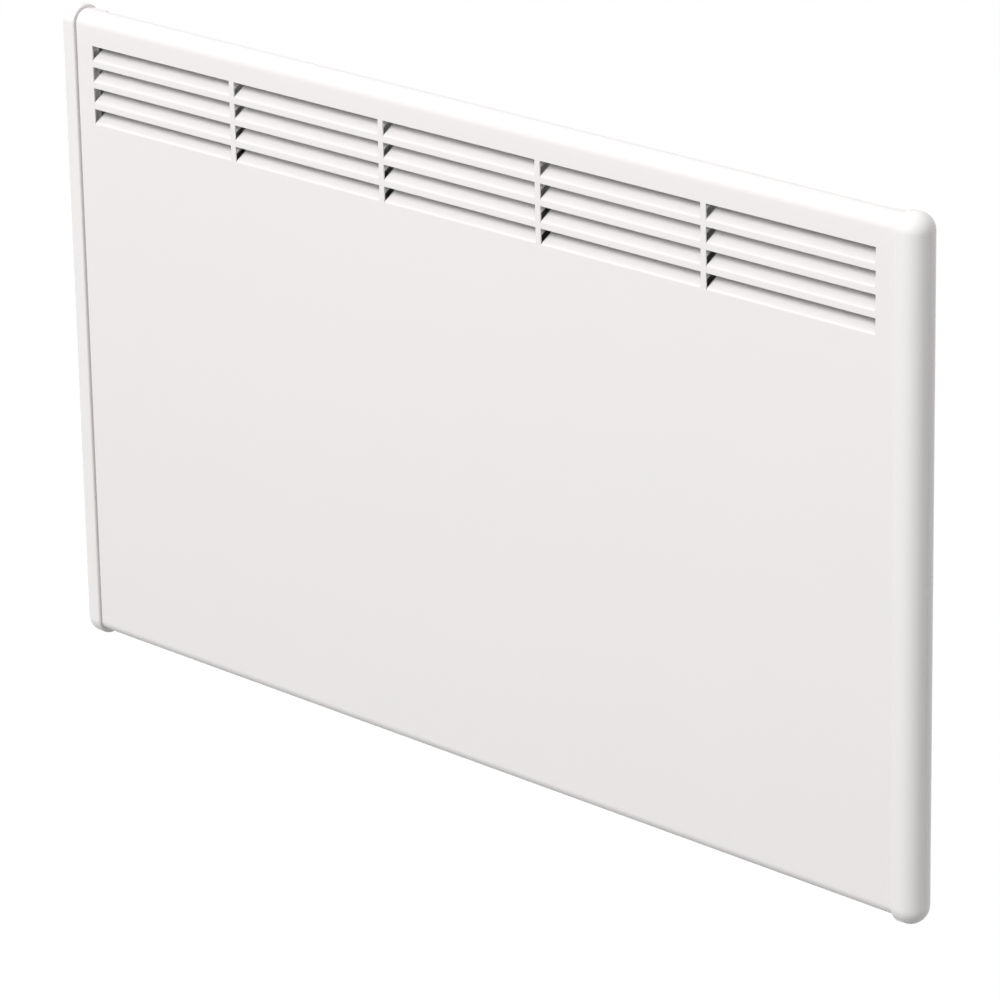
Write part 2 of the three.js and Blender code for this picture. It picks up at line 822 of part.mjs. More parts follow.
function rearHousing() {
  const x1 = housingHalf + flangeSide;
  const flange = alongY(
    rectangle(-x1, housingBottom - flangeLap, x1, housingTop + flangeLap, flangeCorner),
    flangeFront,
    flangeRear,
  );
  const tray = housingLoft(housingBack, flangeFront + housingSheet / 2, 0);
  const inside = housingLoft(housingInnerBack, flangeFront - over, -housingSheet);
  const under = [housingBottom - over, housingBottom + 2 * over];
  const bumperHole = bar(bumperNeckRadius + fit, housingInnerBack - over, housingBack + over);
  const cuts = [
    inside,
    ...intakeSlots(),
    hookSlot(1),
    hookSlot(-1),
    lockSlot(1),
    lockSlot(-1),
    box(moduleStart - fit, moduleEnd + fit, moduleY0 - fit, moduleY1 + fit, ...under),
    turnedAboutZ(bar(glandShankRadius + fit, ...under), glandX, housingMidY),
    turnedAboutY(bumperHole, bumperX, bumperZ),
    turnedAboutY(bumperHole, -bumperX, bumperZ),
  ];
  for (const side of [1, -1]) {
    cuts.push(screwPassage(side * capScrewX, earZ, flangeFront - over, flangeRear + over));
    cuts.push(screwPassage(side * capScrewX, -earZ, flangeFront - over, flangeRear + over));
  }
  for (let index = 0; index < coverScrews; index += 1) {
    cuts.push(screwPassage(coverScrewX(index), coverScrewZ, flangeFront - over, flangeRear + over));
  }
  return shape([flange, tray], cuts);
}

addPiece('rear_housing', rearHousing(), zincSteel());

// ---- Screws ---------------------------------------------------------------------------------
// A pan-head screw driven towards the front, with a square driver recess in its head.
function screw(x, z, headSeat) {
  const tip = headSeat - screwLength;
  const top = headSeat + screwHeadHeight;
  const profile = [
    [0, tip],
    [screwShankRadius, tip + screwShankRadius],
    [screwShankRadius, headSeat],
    [screwHeadRadius, headSeat],
    [screwHeadRadius * screwCrown, top],
    [0, top],
  ];
  const half = screwRecess / 2;
  const recess = box(x - half, x + half, top - screwRecess, top + over, z - half, z + half);
  return shape([turnedAboutY(profile, x, z, 8)], [recess]);
}

for (const [side, sideName] of [[1, 'right'], [-1, 'left']]) {
  for (const [level, levelName] of [[1, 'upper'], [-1, 'lower']]) {
    const geometry = screw(side * capScrewX, level * earZ, flangeRear + seat);
    addPiece(`cap_screw_${levelName}_${sideName}`, geometry, zincSteel());
  }
}

for (let index = 0; index < coverScrews; index += 1) {
  const geometry = screw(coverScrewX(index), coverScrewZ, coverRear + seat);
  addPiece(`cover_screw_${index + 1}`, geometry, zincSteel());
}

// ---- Wall bracket ---------------------------------------------------------------------------
function wallHole(x, z) {
  return turnedAboutY(bar(wallHoleRadius, -bracketSheet - over, over), x, z);
}

// A long hole lets the screw be set level before it is drawn tight.
function wallSlot(x, z) {
  const half = railHoleLength / 2;
  const outline = rectangle(x - half, z - wallHoleRadius, x + half, z + wallHoleRadius, wallHoleRadius);
  return alongY(outline, -bracketSheet - over, over, 2);
}

function bracketRail() {
  const half = uprightX - uprightWidth / 2 - seat;
  const middle = -bracketSheet / 2;
  const front = -railFlange;
  const edge = (railHeight - bracketSheet) / 2;
  const section = foldedSheet(
    [
      [front, -edge],
      [middle, -edge],
      [middle, edge],
      [front, edge],
    ],
    bracketSheet,
    bracketBend,
    3,
  );
  const holes = [wallSlot(railHoleSpacing / 2, 0), wallSlot(-railHoleSpacing / 2, 0)];
  return shape([alongX(section, -half, half)], holes);
}

// A strap bent from the lock's shelf, up the wall and out to the hook at its top.
function bracketUpright() {
  const middle = -bracketSheet / 2;
  const shelfEdge = housingBack + seat;
  const tongue = housingInnerBack - hookPlay - bracketSheet / 2;
  const strap = foldedSheet(
    [
      [shelfEdge, lockShelfZ],
      [middle, lockShelfZ],
      [middle, hookZ],
      [tongue, hookZ],
      [tongue, hookZ + hookHeight],
    ],
    bracketSheet,
    [bracketBend, bracketBend, hookBend + bracketSheet / 2],
    3,
  );
  const x0 = uprightX - uprightWidth / 2;
  const x1 = uprightX + uprightWidth / 2;
  const shoulder = middle - bracketSheet;
  const trim = (xa, xb) => box(
    xa,
    xb,
    tongue - bracketSheet,
    shoulder - over,
    hookZ - 2 * bracketSheet,
    hookZ + hookHeight + over,
  );
  const hookX0 = uprightX - hookWidth / 2;
  const hookX1 = uprightX + hookWidth / 2;
  return shape(
    [alongX(strap, x0, x1)],
    [
      trim(x0 - over, hookX0),
      trim(hookX1, x1 + over),
      wallHole(uprightX, hookZ - wallHoleInset),
      wallHole(uprightX, lockShelfZ + wallHoleInset),
      turnedAboutZ(
        bar(lockShaftRadius + fit, lockShelfZ - bracketSheet, lockShelfZ + bracketSheet),
        uprightX,
        lockShaftY,
      ),
    ],
  );
}

addPiece('bracket_rail', bracketRail(), zincSteel());
addPair('bracket_upright', bracketUpright(), zincSteel);

// ---- Bracket locks --------------------------------------------------------------------------
function bracketLock() {
  const shelfUnder = lockShelfZ - bracketSheet / 2;
  const headTop = shelfUnder - seat;
  const headLow = headTop - lockHeadHeight;
  const tongueTop = lockTongueLow + lockTongueThick;
  const body = turnedAboutZ(
    [
      [0, headLow],
      [lockHeadRadius - lockHeadEdge, headLow],
      [lockHeadRadius, headLow + lockHeadEdge],
      [lockHeadRadius, headTop],
      [lockShaftRadius, headTop],
      [lockShaftRadius, lockTongueLow],
      [lockBossRadius, lockTongueLow],
      [lockBossRadius, tongueTop],
      [0, tongueTop],
    ],
    uprightX,
    lockShaftY,
  );
  const half = lockTongueWidth / 2;
  const tongue = alongZ(
    rectangle(uprightX - half, lockShaftY - lockTongueReach, uprightX + half, lockShaftY, lockTongueCorner),
    lockTongueLow,
    tongueTop,
    3,
  );
  const driverSlot = box(
    uprightX - lockHeadRadius - over,
    uprightX + lockHeadRadius + over,
    lockShaftY - driverSlotWidth / 2,
    lockShaftY + driverSlotWidth / 2,
    headLow - over,
    headLow + driverSlotDepth,
  );
  return shape([body, tongue], [driverSlot]);
}

addPair('bracket_lock', bracketLock(), greyPlastic);

// ---- Rubber wall bumpers --------------------------------------------------------------------
function wallBumper() {
  const base = housingBack + seat;
  const barb = housingInnerBack - seat;
  return turnedAboutY(
    [
      [0, barb - bumperBarbLength],
      [bumperBarbTip, barb - bumperBarbLength],
      [bumperBarbRadius, barb],
      [bumperNeckRadius, barb],
      [bumperNeckRadius, base],
      [bumperRadius, base],
      [bumperRadius, base + bumperRim],
      [bumperTipRadius, 0],
      [0, 0],
    ],
    bumperX,
    bumperZ,
  );
}

addPair('wall_bumper', wallBumper(), darkRubber);

// ---- Heating element ------------------------------------------------------------------------
function finnedBlock() {
  const end = holderX - finEndGap;
  const bore = rodRadius + fit;
  const sides = 10;
  const collar = turnedAboutX(bar(bore + collarWall, -end, end), elementY, elementZ, sides);
  const passage = turnedAboutX(bar(bore, -end - over, end + over), elementY, elementZ, sides);
  const halfDepth = finDepth / 2;
  const halfHeight = finHeight / 2;
  const count = Math.floor((2 * end - finThick) / finPitch) + 1;
  const start = (-(count - 1) * finPitch - finThick) / 2;
  const fins = [];
  for (let i = 0; i < count; i += 1) {
    const x = start + i * finPitch;
    fins.push(box(
      x,
      x + finThick,
      elementY - halfDepth,
      elementY + halfDepth,
      elementZ - halfHeight,
      elementZ + halfHeight,
    ));
  }
  return shape([collar, ...fins], [passage]);
}

// The sheathed rod, with a terminal stud at each end.
function elementRod() {
  const end = holderX + rodOverhang;
  const tip = end + studLength;
  return turnedAboutX(
    [
      [0, -tip],
      [studRadius, -tip],
      [studRadius, -end],
      [rodRadius, -end],
      [rodRadius, end],
      [studRadius, end],
      [studRadius, tip],
      [0, tip],
    ],
    elementY,
    elementZ,
  );
}

// The holder stands on the housing's back and carries the front shield on its other foot.
function elementHolder() {
  const rear = housingInnerBack - seat - holderSheet / 2;
  const front = frontShieldRear + seat + holderSheet / 2;
  const foot = holderX + holderFoot;
  const section = foldedSheet(
    [[foot, rear], [holderX, rear], [holderX, front], [foot, front]],
    holderSheet,
    holderBend,
    3,
  );
  const hole = turnedAboutX(
    bar(bushShankRadius + fit, holderX - holderSheet, holderX + holderSheet),
    elementY,
    elementZ,
  );
  const z0 = elementZ - holderHeight / 2;
  return shape([alongZ(section, z0, z0 + holderHeight)], [hole]);
}

function elementBush() {
  const face = holderX + holderSheet / 2 + seat;
  const inner = face - bushShankLength;
  const bore = rodRadius + fit;
  return turnedAboutX(
    [
      [bore, inner],
      [bushShankRadius - bushEdge, inner],
      [bushShankRadius, inner + bushEdge],
      [bushShankRadius, face],
      [bushFlangeRadius, face],
      [bushFlangeRadius, face + bushFlangeThick],
      [bore, face + bushFlangeThick],
    ],
    elementY,
    elementZ,
  );
}

function terminalBead() {
  const start = holderX + rodOverhang + seat;
  const bore = studRadius + fit;
  return turnedAboutX(
    [
      [bore, start],
      [beadRadius, start],
      [beadRadius, start + beadLength - beadTaper],
      [bore + beadLip, start + beadLength],
      [bore, start + beadLength],
    ],
    elementY,
    elementZ,
  );
}

addPiece('heating_element', finnedBlock(), brightAluminium());
addPiece('element_rod', elementRod(), zincSteel());
addPair('element_holder', elementHolder(), zincSteel);
addPair('element_bush', elementBush(), blackPlastic);
addPair('terminal_bead', terminalBead(), ceramicWhite);

// ---- Heat shields ---------------------------------------------------------------------------
function rearShield() {
  const back = housingInnerBack - seat;
  const face = rearShieldFront + shieldSheet / 2;
  const low = housingBottom + rearShieldLow;
  const high = housingBottom + rearShieldHigh;
  const section = foldedSheet(
    [[back, low], [face, low], [face, high], [back, high]],
    shieldSheet,
    shieldBend,
    3,
  );
  const half = holderX - holderSheet / 2 - rearShieldPlay;
  return alongX(section, -half, half);
}

function frontShield() {
  const face = frontShieldRear - shieldSheet / 2;
  const low = housingBottom + frontShieldLow;
  const high = housingBottom + frontShieldHigh;
  const section = foldedSheet(
    [[face, low], [face, high], [face + frontShieldTurn, high + frontShieldTurn / 2]],
    shieldSheet,
    shieldBend,
    3,
  );
  const half = holderX + holderFoot;
  return alongX(section, -half, half);
}

addPiece('rear_heat_shield', rearShield(), brightAluminium());
addPiece('front_heat_shield', frontShield(), brightAluminium());

// ---- Safety cut-out -------------------------------------------------------------------------
const cutoutX = halfWidth - cutoutInset;
const cutoutZ = housingBottom + cutoutRise;
const cutoutBack = rearShieldFront - seat;
const cutoutFace = cutoutBack - cutoutFlangeThick - cutoutHeight;
const tabTip = cutoutFace - tabLength;

function thermalCutout() {
  const body = turnedAboutY(
    [
      [0, cutoutFace],
      [cutoutRadius, cutoutFace],
      [cutoutRadius, cutoutBack - cutoutFlangeThick],
      [cutoutFlangeRadius, cutoutBack - cutoutFlangeThick],
      [cutoutFlangeRadius, cutoutBack],
      [0, cutoutBack],
    ],
    cutoutX,
    cutoutZ,
  );
  const tabs = [-1, 1].map((side) => {
    const x = cutoutX + (side * tabSpacing) / 2;
    return box(
      x - tabThick / 2,
      x + tabThick / 2,
      tabTip,
      cutoutFace + over,
      cutoutZ - tabWidth / 2,
      cutoutZ + tabWidth / 2,
    );
  });
  return shape([body, ...tabs]);
}

addPiece('thermal_cutout', thermalCutout(), blackPlastic());

// ---- Control module -------------------------------------------------------------------------
const sensorX = projectorX - sensorOffset;
const buttonX = (index) => projectorX - modeOffset - index * buttonPitch;
const rockerX = projectorX - rockerOffset;
const boardStart = rockerX + frameLength / 2 + boardToRocker;
const boardEnd = projectorX - barrelRadius - boardToBarrel;

function controlHousing() {
  const flange = alongZ(
    rectangle(
      moduleStart - moduleFlangeLap,
      moduleY0 - moduleFlangeLapSide,
      moduleEnd + moduleFlangeLap,
      moduleY1 + moduleFlangeLapSide,
      moduleCorner,
    ),
    moduleLowest,
    moduleLowest + moduleFlange,
  );
  const block = box(moduleStart, moduleEnd, moduleY0, moduleY1, moduleLowest + over, moduleTop);
  const inside = box(
    moduleStart + moduleWall,
    moduleEnd - moduleWall,
    moduleY0 + moduleWall,
    moduleY1 - moduleWall,
    moduleFloor,
    moduleTop + over,
  );
  const posts = [];
  const post = bar(postRadius, moduleFloor - over, boardLow - seat);
  for (const x of [boardStart + postInset, boardEnd - postInset]) {
    for (const y of [moduleY0 + moduleWall + postInset, moduleY1 - moduleWall - postInset]) {
      posts.push(turnedAboutZ(post, x, y, postSides));
    }
  }
  const floor = [moduleLowest - over, moduleFloor + over];
  const frameHalf = frameLength / 2 + fit;
  const holes = [
    box(
      rockerX - frameHalf,
      rockerX + frameHalf,
      projectorY - frameWidth / 2 - fit,
      projectorY + frameWidth / 2 + fit,
      ...floor,
    ),
    turnedAboutZ(bar(sensorRadius + fit, ...floor), sensorX, projectorY),
    turnedAboutZ(bar(windowRadius - windowLip, ...floor), projectorX, projectorY),
    turnedAboutZ(
      bar(windowRadius + fit, moduleLowest - over, moduleLowest + windowThick + seat),
      projectorX,
      projectorY,
    ),
  ];
  for (let index = 0; index < 3; index += 1) {
    const hole = bar(buttonRadius + fit, ...floor);
    holes.push(turnedAboutZ(hole, buttonX(index), projectorY, buttonSides));
  }
  const shell = shape([flange, block], [inside]);
  return shape([shell, ...posts], holes);
}

function circuitBoard() {
  return box(
    boardStart,
    boardEnd,
    moduleY0 + moduleWall + boardMargin,
    moduleY1 - moduleWall - boardMargin,
    boardLow,
    boardLow + boardThick,
  );
}

// A component that stands on the board.
function boardComponent(x, length, depth, height) {
  const low = boardLow + boardThick + seat;
  const outline = rectangle(
    x - length / 2,
    projectorY - depth / 2,
    x + length / 2,
    projectorY + depth / 2,
    partCorner,
  );
  return alongZ(outline, low, low + height, 2);
}

function tactSwitch(x) {
  const top = boardLow - seat;
  const face = top - tactHeight;
  const half = tactSize / 2;
  return shape([
    box(x - half, x + half, projectorY - half, projectorY + half, face, top),
    turnedAboutZ(bar(tactPlungerRadius, face - tactPlungerLength, face + over), x, projectorY),
  ]);
}

const tactTip = boardLow - seat - tactHeight - tactPlungerLength;

// A button is kept from falling out by its inner flange and stands just clear of its switch.
function pushButton(x) {
  const face = moduleLowest - buttonProud;
  const flangeLow = moduleFloor + seat;
  const flangeTop = flangeLow + buttonFlangeThick;
  const stemTop = tactTip - buttonTravel - seat;
  return turnedAboutZ(
    [
      [0, face],
      [buttonRadius - buttonEdge, face],
      [buttonRadius, face + buttonEdge],
      [buttonRadius, flangeLow],
      [buttonFlangeRadius, flangeLow],
      [buttonFlangeRadius, flangeTop],
      [buttonStemRadius, flangeTop],
      [buttonStemRadius, stemTop],
      [0, stemTop],
    ],
    x,
    projectorY,
    buttonSides,
  );
}

addPiece('control_housing', controlHousing(), whitePlastic());
addPiece('circuit_board', circuitBoard(), boardGreen());
const relayX = boardEnd - relayLength / 2 - relayInset;
const transformerX = boardStart + transformerLength / 2 + transformerInset;
addPiece('relay', boardComponent(relayX, relayLength, relayDepth, relayHeight), blackPlastic());
addPiece(
  'transformer',
  boardComponent(transformerX, transformerLength, transformerDepth, transformerHeight),
  greyPlastic(),
);
['mode', 'up', 'down'].forEach((name, index) => {
  addPiece(`${name}_button`, pushButton(buttonX(index)), greyPlastic());
  addPiece(`${name}_switch`, tactSwitch(buttonX(index)), blackPlastic());
});

// ---- Power rocker ---------------------------------------------------------------------------
const bezelTop = moduleLowest - seat;
const bezelLow = bezelTop - bezelThick;
const pivotZ = bezelLow + rockerMiddleDepth + rockerRelief;

function rockerFrame() {
  const bezel = alongZ(
    rectangle(
      rockerX - bezelLength / 2,
      projectorY - bezelWidth / 2,
      rockerX + bezelLength / 2,
      projectorY + bezelWidth / 2,
      bezelCorner,
    ),
    bezelLow,
    bezelTop,
  );
  const frameTop = bezelLow + frameHeight;
  const body = box(
    rockerX - frameLength / 2,
    rockerX + frameLength / 2,
    projectorY - frameWidth / 2,
    projectorY + frameWidth / 2,
    bezelLow + bezelThick / 2,
    frameTop,
  );
  const blades = [-1, 1].map((side) => {
    const x = rockerX + (side * bladeSpacing) / 2;
    return box(
      x - tabThick / 2,
      x + tabThick / 2,
      projectorY - tabWidth / 2,
      projectorY + tabWidth / 2,
      frameTop - over,
      frameTop + tabLength,
    );
  });
  const well = box(
    rockerX - rockerLength / 2 - wellClearEnd,
    rockerX + rockerLength / 2 + wellClearEnd,
    projectorY - rockerWidth / 2 - wellClearSide,
    projectorY + rockerWidth / 2 + wellClearSide,
    bezelLow - over,
    pivotZ + wellDepth,
  );
  const pinSpan = rockerWidth / 2 + rockerPinLength + fit;
  const pinHole = turnedAboutY(
    bar(rockerPinRadius + fit, projectorY - pinSpan, projectorY + pinSpan),
    rockerX,
    pivotZ,
  );
  return shape([bezel, body, ...blades], [well, pinHole]);
}

// The rocker is drawn level about its pivot and set down tilted to one side.
function powerRocker() {
  const end = rockerLength / 2;
  const section = new THREE.Shape();
  section.moveTo(-end, -rockerEndDepth);
  section.quadraticCurveTo(-end / 2, -rockerMiddleDepth, 0, -rockerMiddleDepth);
  section.quadraticCurveTo(end / 2, -rockerMiddleDepth, end, -rockerEndDepth);
  section.lineTo(end, -rockerShoulder);
  section.lineTo(end * rockerBack, rockerCrown);
  section.lineTo(-end * rockerBack, rockerCrown);
  section.lineTo(-end, -rockerShoulder);
  const half = rockerWidth / 2;
  const pinHalf = half + rockerPinLength;
  const body = shape([
    alongY(section, -half, half),
    turnedAboutY(bar(rockerPinRadius, -pinHalf, pinHalf), 0, 0),
  ]);
  return body.rotateY(-rockerTilt * degree).translate(rockerX, projectorY, pivotZ);
}

addPiece('rocker_frame', rockerFrame(), blackPlastic());
addPiece('power_rocker', powerRocker(), blackPlastic());

// ---- Projector ------------------------------------------------------------------------------
const barrelLow = moduleFloor + seat;
const barrelTop = barrelLow + barrelHeight;
const lensLow = barrelLow + lensSeat + ledgeThick + seat;
const maskLow = barrelLow + maskSeat + ledgeThick + seat;

// The barrel has one ledge under the lens and one under the segment mask.
function projectorBarrel() {
  const ledge = (low) => [
    [barrelBore, low],
    [barrelLedge, low],
    [barrelLedge, low + ledgeThick],
    [barrelBore, low + ledgeThick],
  ];
  return turnedAboutZ(
    [
      [barrelRadius, barrelLow],
      [barrelRadius, barrelTop],
      [barrelBore, barrelTop],
      ...ledge(barrelLow + maskSeat).reverse(),
      ...ledge(barrelLow + lensSeat).reverse(),
      [barrelBore, barrelLow],
    ],
    projectorX,
    projectorY,
  );
}

function projectorLens() {
  const profile = [[0, lensLow], [lensRadius, lensLow], [lensRadius, lensLow + lensEdge]];
  const steps = 5;
  for (let step = 1; step <= steps; step += 1) {
    const angle = (90 * step * degree) / steps;
    profile.push([lensRadius * Math.cos(angle), lensLow + lensEdge + lensCrown * Math.sin(angle)]);
  }
  profile[profile.length - 1][0] = 0;
  return turnedAboutZ(profile, projectorX, projectorY);
}

function segmentMask() {
  return turnedAboutZ(bar(lensRadius, maskLow, maskLow + maskThick), projectorX, projectorY);
}

// A light-emitting dome under a round plate that closes the barrel.
function projectorLamp() {
  const plateLow = barrelTop + seat;
  const profile = [[0, plateLow - lampDomeRadius]];
  const steps = 4;
  for (let step = 1; step <= steps; step += 1) {
    const angle = (90 * step * degree) / steps;
    profile.push([lampDomeRadius * Math.sin(angle), plateLow - lampDomeRadius * Math.cos(angle)]);
  }
  profile.push([barrelRadius, plateLow]);
  profile.push([barrelRadius, plateLow + lampPlateThick]);
  profile.push([0, plateLow + lampPlateThick]);
  return turnedAboutZ(profile, projectorX, projectorY);
}

function projectorWindow() {
  return turnedAboutZ(
    bar(windowRadius, moduleLowest, moduleLowest + windowThick),
    projectorX,
    projectorY,
  );
}

addPiece('projector_barrel', projectorBarrel(), blackPlastic());
addPiece('projector_lens', projectorLens(), clearLens());
addPiece('segment_mask', segmentMask(), blackPlastic());
addPiece('projector_lamp', projectorLamp(), ceramicWhite());
addPiece('projector_window', projectorWindow(), clearLens());

// ---- Room sensor ----------------------------------------------------------------------------
function roomSensor() {
  const tip = moduleLowest - sensorDrop;
  const headLow = moduleFloor + seat;
  return turnedAboutZ(
    [
      [0, tip],
      [sensorTipRadius, tip + sensorTipEdge],
      [sensorRadius, tip + sensorTipRise],
      [sensorRadius, headLow],
      [sensorHeadRadius, headLow],
      [sensorHeadRadius, headLow + sensorHeadThick],
      [sensorLegRadius, headLow + sensorHeadThick],
      [sensorLegRadius, boardLow - seat],
      [0, boardLow - seat],
    ],
    sensorX,
    projectorY,
  );
}

addPiece('room_sensor', roomSensor(), greyPlastic());

// ---- Mains connection -----------------------------------------------------------------------
function cordGland() {
  const flangeTop = housingBottom - seat;
  const flangeLow = flangeTop - glandFlangeThick;
  const top = housingBottom + housingSheet + seat + glandNutHeight + glandShankProud;
  return turnedAboutZ(
    [
      [glandBore, flangeLow - glandTail],
      [glandBore + glandTailWall, flangeLow - glandTail],
      [glandRootRadius, flangeLow],
      [glandFlangeRadius, flangeLow + glandEdge],
      [glandFlangeRadius, flangeTop],
      [glandShankRadius, flangeTop],
      [glandShankRadius, top],
      [glandBore, top],
    ],
    glandX,
    housingMidY,
  );
}

function glandNut() {
  const low = housingBottom + housingSheet + seat;
  const outline = new THREE.Shape();
  for (let corner = 0; corner < 6; corner += 1) {
    const angle = 60 * corner * degree;
    const x = glandX + glandNutAcross * Math.cos(angle);
    const y = housingMidY + glandNutAcross * Math.sin(angle);
    if (corner === 0) {
      outline.moveTo(x, y);
    } else {
      outline.lineTo(x, y);
    }
  }
  outline.holes.push(circle(glandX, housingMidY, glandShankRadius + fit));
  return alongZ(outline, low, low + glandNutHeight, 12);
}

const blockLow = housingBottom + blockRise;
const blockBack = housingInnerBack - seat;
const blockX0 = glandX - blockLength / 2;
const blockX1 = glandX + blockLength / 2;

function terminalBlock() {
  const outline = rectangle(blockX0, blockLow, blockX1, blockLow + blockHeight, blockCorner);
  const body = alongY(outline, blockBack - blockDepth, blockBack, 2);
  const screws = [];
  for (let way = 0; way < blockWays; way += 1) {
    const x = glandX + (way - (blockWays - 1) / 2) * (blockLength / blockWays);
    const front = blockBack - blockDepth;
    const hole = bar(blockScrewRadius, front - over, front + blockScrewDepth);
    screws.push(turnedAboutY(hole, x, blockLow + blockHeight / 2, 8));
  }
  return shape([body], screws);
}

addPiece('cord_gland', cordGland(), blackPlastic());
addPiece('gland_nut', glandNut(), blackPlastic());
addPiece('terminal_block', terminalBlock(), ceramicWhite());

// ---- Internal leads -------------------------------------------------------------------------
function lead(points) {
  const route = new THREE.CatmullRomCurve3(points.map((point) => new THREE.Vector3(...point)));
  const steps = Math.ceil(route.getLength() / (6 * leadRadius));
  const section = new THREE.Shape();
  for (let side = 0; side < leadSides; side += 1) {
    const angle = (360 * side * degree) / leadSides;
    const x = leadRadius * Math.cos(angle);
    const y = leadRadius * Math.sin(angle);
    if (side === 0) {
      section.moveTo(x, y);
    } else {
      section.lineTo(x, y);
    }
  }
  return new THREE.ExtrudeGeometry(section, { steps, extrudePath: route, bevelEnabled: false });
}

const blockMidZ = blockLow + blockHeight / 2;
const leadY = housingMidY;
const studX = holderX + rodOverhang + studLength - 3;
const studTop = elementZ + studRadius + seat;
const studUnder = elementZ - studRadius - seat;
const wallPass = moduleTop + seat + leadRadius + 2;
const rockerBladeTop = bezelLow + frameHeight + tabLength + seat;
const relayTop = boardLow + boardThick + seat + relayHeight + seat;
const cornerX = housingHalf - housingSheet - 12;

// From the terminal block over the module's wall to the power switch.
addPiece(
  'supply_lead',
  lead([
    [blockX1 + seat, leadY, blockMidZ],
    [blockX1 + 4, leadY, blockMidZ],
    [moduleStart - 5, leadY, wallPass - 4],
    [moduleStart + 3, leadY, wallPass + 1],
    [rockerX - 11, leadY, wallPass - 2],
    [rockerX - 6, leadY, rockerBladeTop + 4],
    [rockerX - 5, leadY, rockerBladeTop],
  ]),
  wireBrown(),
);

// From the relay round the element's end and back along its top to the safety cut-out.
addPiece(
  'switched_lead',
  lead([
    [relayX, leadY, relayTop],
    [relayX, leadY, relayTop + 6],
    [relayX + 16, leadY, relayTop + 14],
    [holderX + 8, leadY + 3, relayTop + 20],
    [cornerX - 1, leadY + 4, relayTop + 38],
    [cornerX, leadY + 4, elementZ],
    [cornerX - 2, leadY + 4, elementZ + 28],
    [holderX + 4, leadY + 4, cutoutZ + 14],
    [holderX - 30, leadY + 3, cutoutZ + 18],
    [cutoutX + 12, leadY, cutoutZ + 17],
    [cutoutX - tabSpacing / 2 + 1, tabTip + 3, cutoutZ + 10],
    [cutoutX - tabSpacing / 2, tabTip + 3, cutoutZ + tabWidth / 2 + seat],
  ]),
  wireBrown(),
);

// From the safety cut-out to the element's right-hand stud.
addPiece(
  'element_lead',
  lead([
    [cutoutX + tabSpacing / 2 + tabThick / 2 + seat, tabTip + 3, cutoutZ],
    [cutoutX + 20, tabTip + 3, cutoutZ],
    [holderX - 12, tabTip + 2, cutoutZ - 2],
    [holderX + 14, elementY + 1, cutoutZ - 9],
    [studX - 1, elementY, studTop + 13],
    [studX, elementY, studTop],
  ]),
  wireBrown(),
);

// From the terminal block along the housing's floor to the element's left-hand stud.
addPiece(
  'neutral_lead',
  lead([
    [blockX0 - seat, leadY, blockMidZ],
    [blockX0 - 12, leadY, blockMidZ],
    [blockX0 - 60, leadY, blockMidZ - 4],
    [0, leadY, blockMidZ - 4],
    [-housingHalf / 2, leadY, blockMidZ - 4],
    [-holderX + 10, leadY, blockMidZ - 3],
    [-cornerX + 4, leadY - 2, blockMidZ + 8],
    [-cornerX, leadY - 6, blockMidZ + 34],
    [-studX - 1, elementY, studUnder - 18],
    [-studX, elementY, studUnder],
  ]),
  wireBlue(),
);

export default heater;
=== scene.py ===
import math

import bmesh
import bpy
from mathutils import Matrix, Vector


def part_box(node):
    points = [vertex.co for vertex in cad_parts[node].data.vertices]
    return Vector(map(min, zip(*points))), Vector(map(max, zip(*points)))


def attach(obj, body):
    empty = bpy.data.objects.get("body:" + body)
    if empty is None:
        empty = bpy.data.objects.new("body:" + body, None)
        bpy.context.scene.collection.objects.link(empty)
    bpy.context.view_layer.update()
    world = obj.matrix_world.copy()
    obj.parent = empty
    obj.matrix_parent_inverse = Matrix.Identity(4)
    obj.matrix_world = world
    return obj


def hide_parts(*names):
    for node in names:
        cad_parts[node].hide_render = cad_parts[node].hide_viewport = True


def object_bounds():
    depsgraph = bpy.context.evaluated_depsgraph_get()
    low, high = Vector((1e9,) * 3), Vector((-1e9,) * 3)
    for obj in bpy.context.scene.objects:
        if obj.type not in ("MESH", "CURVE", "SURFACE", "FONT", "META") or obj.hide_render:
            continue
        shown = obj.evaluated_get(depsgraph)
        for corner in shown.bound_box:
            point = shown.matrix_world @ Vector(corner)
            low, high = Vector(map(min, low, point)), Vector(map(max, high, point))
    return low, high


# Wall panel convector heater: a louvred white steel cover between two moulded end caps, on a
# pressed steel housing that hangs on a wall bracket. The wall is the plane Y = 0 and the room lies
# at -Y.
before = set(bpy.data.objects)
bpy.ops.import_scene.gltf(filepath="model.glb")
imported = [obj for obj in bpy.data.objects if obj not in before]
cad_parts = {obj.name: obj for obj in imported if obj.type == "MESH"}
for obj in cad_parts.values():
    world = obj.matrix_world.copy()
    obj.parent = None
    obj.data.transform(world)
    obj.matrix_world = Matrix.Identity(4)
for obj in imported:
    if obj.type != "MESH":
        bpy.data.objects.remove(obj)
cad_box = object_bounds()
mm = 0.001

# ---- Camera ----
# A long lens from the front right and a little above. The place and angles are a least-squares fit
# of the louvre openings' corners, and the frame is square.
camera_place = (2.13923, -2.12255, 1.00852)
camera_azimuth = 45.5643
camera_height = 19.3114
camera_roll = -1.0514


def put_object(name, data):
    """A new object in the scene."""
    item = bpy.data.objects.new(name, data)
    bpy.context.scene.collection.objects.link(item)
    return item


def turned(degrees, axis):
    return Matrix.Rotation(math.radians(degrees), 4, axis)


camera_data = bpy.data.cameras.new("photo_camera")
camera_data.sensor_width = 36
camera_data.lens = 199.44
camera_data.clip_end = 40
camera = put_object("photo_camera", camera_data)
camera.matrix_world = (
    Matrix.Translation(camera_place) @ turned(camera_azimuth, "Z")
    @ turned(90 - camera_height, "X") @ turned(camera_roll, "Z")
)
bpy.context.scene.camera = camera

